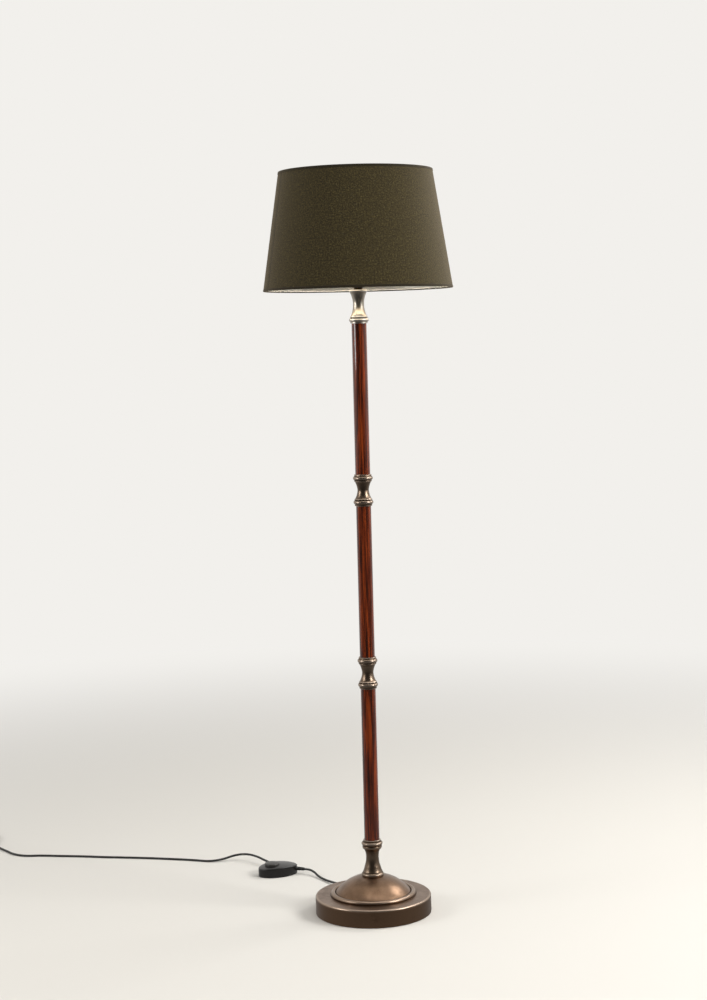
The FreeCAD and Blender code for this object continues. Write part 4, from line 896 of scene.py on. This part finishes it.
# Slub yarn is matt, and lighter than most of the threads about it.
slub_yarn = plain_material("linen_slub_yarn", "453E28", 0.9, grain_mm=0.5, spread=0.4, bump_mm=0.05)
slub_shape = bmesh.new()
rings = []
for along_share, reach in ((-0.5, 0.2), (-0.2, 0.9), (0.1, 1.0), (0.5, 0.2)):
    rings.append([slub_shape.verts.new(Vector((along_share * SLUB_LENGTH, reach * SLUB_R * math.cos(a),
                                               reach * SLUB_R * math.sin(a))) * MM)
                  for a in (k * math.pi / 3 for k in range(6))])
for ring, after in zip(rings, rings[1:]):
    for k in range(6):
        slub_shape.faces.new([ring[k], ring[(k + 1) % 6], after[(k + 1) % 6], after[k]])
slub_shape.faces.new(rings[0][::-1])
slub_shape.faces.new(rings[-1])
bmesh.ops.recalc_face_normals(slub_shape, faces=slub_shape.faces)
slub_mesh = bpy.data.meshes.new("slub")
slub_shape.to_mesh(slub_mesh)
slub_shape.free()
slub_mesh.shade_smooth()
slub_source = bpy.data.objects.new("slub_source", slub_mesh)

group = bpy.data.node_groups.new("scatter_slubs", "GeometryNodeTree")
group.interface.new_socket("Geometry", in_out="INPUT", socket_type="NodeSocketGeometry")
sockets = {}
for label, kind, value in (("Density", "NodeSocketFloat", SLUBS_PER_M2), ("Seed", "NodeSocketInt", SLUB_SEED),
                           ("Slub", "NodeSocketObject", slub_source),
                           ("Yarn", "NodeSocketMaterial", slub_yarn)):
    sockets[label] = (group.interface.new_socket(label, in_out="INPUT", socket_type=kind).identifier, value)
group.interface.new_socket("Geometry", in_out="OUTPUT", socket_type="NodeSocketGeometry")
entry = add_node(group, "NodeGroupInput")
spots = add_node(group, "GeometryNodeDistributePointsOnFaces", {"Mesh": entry.outputs["Geometry"],
                                                                "Density": entry.outputs["Density"],
                                                                "Seed": entry.outputs["Seed"]})
where = add_node(group, "ShaderNodeSeparateXYZ", {0: add_node(group, "GeometryNodeInputPosition").outputs[0]})
backward = add_node(group, "ShaderNodeMath", {0: where.outputs["Y"], 1: -1.0}, operation="MULTIPLY")
weft = add_node(group, "ShaderNodeCombineXYZ", {"X": backward.outputs[0], "Y": where.outputs["X"]})
chance = add_node(group, "FunctionNodeRandomValue", {"Probability": 0.45, "Seed": entry.outputs["Seed"]},
                  data_type="BOOLEAN")
thread_way = add_node(group, "GeometryNodeSwitch", {"Switch": chance.outputs[3], "False": weft.outputs[0],
                                                    "True": (0.0, 0.0, 1.0)}, input_type="VECTOR")
outward = add_node(group, "FunctionNodeAlignRotationToVector", {"Vector": spots.outputs["Normal"]}, axis="Z")
laid = add_node(group, "FunctionNodeAlignRotationToVector", {"Rotation": outward.outputs[0],
                                                             "Vector": thread_way.outputs[0]},
                axis="X", pivot_axis="Z")
size = add_node(group, "FunctionNodeRandomValue", {"Min": (0.4, 0.7, 0.7), "Max": (1.6, 1.2, 1.1),
                                                   "Seed": entry.outputs["Seed"]}, data_type="FLOAT_VECTOR")
source = add_node(group, "GeometryNodeObjectInfo", {"Object": entry.outputs["Slub"]})
laid_out = add_node(group, "GeometryNodeInstanceOnPoints", {"Points": spots.outputs["Points"],
                                                            "Instance": source.outputs["Geometry"],
                                                            "Rotation": laid.outputs[0],
                                                            "Scale": size.outputs[0]})
real = add_node(group, "GeometryNodeRealizeInstances", {0: laid_out.outputs[0]})
dyed = add_node(group, "GeometryNodeSetMaterial", {"Geometry": real.outputs[0],
                                                   "Material": entry.outputs["Yarn"]})
add_node(group, "NodeGroupOutput", {"Geometry": dyed.outputs[0]})

bed = wrapped_sheet("slub_bed", cloth_low + BED_MARGIN, cloth_high - BED_MARGIN, -0.3, 0.02, None,
                    first=SEAM_ANGLE + seam_sweep * 1.2, sweep=2 * math.pi - seam_sweep * 1.6, columns=96,
                    rows=4)
bed_shape = bmesh.new()
bed_shape.from_mesh(bed.data)
inner_faces = [f for f in bed_shape.faces if f.normal.dot(Vector(f.calc_center_median().xy.to_3d())) < 0.05]
bmesh.ops.delete(bed_shape, geom=inner_faces, context="FACES")
bed_shape.to_mesh(bed.data)
bed_shape.free()
scatter = bed.modifiers.new("slubs", "NODES")
scatter.node_group = group
for label, (identifier, value) in sockets.items():
    scatter[identifier] = value
bpy.context.view_layer.update()
slubs_mesh = bpy.data.meshes.new_from_object(bed.evaluated_get(bpy.context.evaluated_depsgraph_get()))
bpy.data.objects.remove(bed)
bpy.data.objects.remove(slub_source)
slubs = link_piece("cloth_slubs", slubs_mesh, None)
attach(slubs, "shade")

# Moulded ABS is a smooth black with a satin gloss, and the button's is greyer. Rubber is duller.
switch_plastic = plain_material("moulded_black_abs", "100D0A", 0.33, grain_mm=0.9, spread=0.25, bump_mm=0.03)
button_plastic = plain_material("moulded_grey_button", "26231F", 0.36, grain_mm=0.8, spread=0.2, bump_mm=0.03)
black_rubber = plain_material("moulded_black_rubber", "13110F", 0.6, grain_mm=0.6, spread=0.25, bump_mm=0.04)

top_case = smooth_copy("switch_case_top", "switch_upper", switch_plastic)
bottom_case = smooth_copy("switch_case_bottom", "switch_lower", switch_plastic)
button = smooth_copy("switch_push", "switch_button", button_plastic, body="foot_button")
dress("switch_block", black_moulding)
dress("switch_screws", zinc_steel)
dress("switch_feet", black_rubber)
spring = smooth_copy("return_spring", "switch_spring", zinc_steel)
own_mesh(spring)
lead_guard = smooth_copy("switch_guard_lead", "switch_relief_lead", black_rubber)
run_guard = smooth_copy("switch_guard_run", "switch_relief_run", black_rubber)
base_guard = smooth_copy("base_guard", "cord_bushing", black_rubber)

# Plug
# A flat two-pin plug moulded in one with its guard, at the far end of the cord.
plug = smooth_copy("plug_case", "plug_body", black_moulding)
plug_guard = smooth_copy("plug_guard", "plug_relief", black_rubber)
pins = smooth_copy("plug_prongs", "plug_pins", zinc_steel)

# Cord
# Round two-core flex with a black sleeve, 5 mm thick: a short lead from the base to the switch, and the
# long run that rises in a bow behind the switch, lies along the floor, and is wound up at the picture's end.
CORD_D = 5.0
CORD_FLOOR = 2.55
COIL_CENTRE = (-965.0, 640.0)
COIL_MEAN_R = 30.0
COIL_TURNS = 3
COIL_PITCH = 5.55
COIL_POINTS = 20

# Extruded PVC is a smooth near-black, with a low gloss that its scuffs break up.
cord_sleeve, tree = start_material("extruded_black_pvc")
place = add_node(tree, "ShaderNodeTexCoord").outputs["Object"]
scuffs = add_node(tree, "ShaderNodeTexNoise", {"Vector": place, "Scale": 160.0, "Detail": 5.0})
tone = add_node(tree, "ShaderNodeMix", {"Factor": scuffs.outputs["Fac"], "A": linear("0E0D0C"),
                                        "B": linear("1E1B18")}, data_type="RGBA")
rough = add_node(tree, "ShaderNodeMapRange", {"Value": scuffs.outputs["Fac"], "To Min": 0.36, "To Max": 0.6})
shader = add_node(tree, "ShaderNodeBsdfPrincipled", {"Base Color": tone.outputs["Result"],
                                                     "Roughness": rough.outputs["Result"]})
end_material(tree, shader.outputs[0])
dress("inner_flex", cord_sleeve)


def cord_curve(name, points):
    """A smooth round cord whose control points are the route's own points."""
    data = bpy.data.curves.new(name, "CURVE")
    data.dimensions = "3D"
    spline = data.splines.new("NURBS")
    spline.points.add(len(points) - 1)
    for point, spot in zip(spline.points, points):
        point.co = (spot[0] * MM, spot[1] * MM, spot[2] * MM, 1.0)
    spline.order_u = 3
    spline.use_endpoint_u = True
    spline.resolution_u = 10
    data.bevel_depth = CORD_D / 2 * MM
    data.bevel_resolution = 5
    data.use_fill_caps = True
    data.materials.append(cord_sleeve)
    piece = bpy.data.objects.new(name, data)
    bpy.context.scene.collection.objects.link(piece)
    return piece


def coil_spot(t):
    """Point of the coil's centreline after t turns: in, up one layer, and out."""
    swing = 0.25
    offset = t - COIL_TURNS
    inward = (offset * offset / swing + swing) / 2 if abs(offset) < swing else abs(offset)
    radius = COIL_MEAN_R + COIL_PITCH * (inward - COIL_TURNS / 2)
    share = min(max((offset + swing) / (2 * swing), 0.0), 1.0)
    climb = share * share * (3 - 2 * share)
    angle = 2 * math.pi * t
    return (COIL_CENTRE[0] + radius * math.cos(angle), COIL_CENTRE[1] + radius * math.sin(angle),
            CORD_FLOOR + COIL_PITCH * climb)


def along(spot, degrees, reach):
    """The point at that reach from spot, level with it."""
    angle = math.radians(degrees)
    return (spot[0] + reach * math.cos(angle), spot[1] + reach * math.sin(angle), spot[2])


BUSHING_ANGLE = 112.0
LEAD_PORT_ANGLE = -20.0
RUN_PORT_ANGLE = 112.0
CORD_STRAIGHT = 12.0
lead_start = along((0.0, 0.0, 12.0), BUSHING_ANGLE, 145.0)
lead_end = (-156.14, 294.39, 12.0)
lead_route = [lead_start, along(lead_start, BUSHING_ANGLE, CORD_STRAIGHT), (-67, 164, 10.2), (-79, 190, 6.6),
              (-97, 217, 4), (-114, 243, 3.2), (-126, 266, 4.8), (-133, 279.5, 8.8),
              along(lead_end, LEAD_PORT_ANGLE, CORD_STRAIGHT), lead_end]
run_start = (-234.43, 346.91, 12.0)
run_route = [run_start, along(run_start, RUN_PORT_ANGLE, CORD_STRAIGHT), (-251, 373, 13.2), (-269, 396, 16),
             (-293, 417, 17), (-322, 427, 13), (-350, 417, 6),
             (-382, 413, CORD_FLOOR), (-424, 430, CORD_FLOOR), (-478, 444, CORD_FLOOR),
             (-535, 457, CORD_FLOOR), (-590, 467, CORD_FLOOR), (-640, 475, CORD_FLOOR),
             (-692, 487, CORD_FLOOR), (-743, 494, CORD_FLOOR), (-795, 504, CORD_FLOOR),
             (-831, 502, CORD_FLOOR), (-862, 520, CORD_FLOOR), (-884, 551, CORD_FLOOR),
             (-906, 579, CORD_FLOOR), (-917, 599, CORD_FLOOR)]
coil_first = Vector(coil_spot(0))
coil_last = Vector(coil_spot(2 * COIL_TURNS))
straight_in = (coil_first - Vector(coil_spot(0.01))).normalized() * CORD_D
straight_out = (coil_last - Vector(coil_spot(2 * COIL_TURNS - 0.01))).normalized() * CORD_D
coil_route = [coil_spot(i / COIL_POINTS) for i in range(2 * COIL_TURNS * COIL_POINTS + 1)]
tail_start = coil_last + straight_out
PLUG_Z = 6.85
tail_route = [tail_start, tail_start + straight_out * 4.4, tail_start + Vector((-5, 44, -0.8)),
              Vector((tail_start.x - 21, tail_start.y + 62, PLUG_Z)),
              Vector((tail_start.x - 43, tail_start.y + 66, PLUG_Z))]
whole_run = run_route + [tuple(coil_first + straight_in * 4), tuple(coil_first + straight_in)]
whole_run += coil_route + [tuple(p) for p in tail_route]

lead = cord_curve("flex_lead", lead_route)
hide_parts("cord_lead")
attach(lead, "root")
run = cord_curve("flex_run", whole_run)
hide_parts("cord_run", "cord_coil", "cord_tail")
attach(run, "root")

low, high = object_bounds()
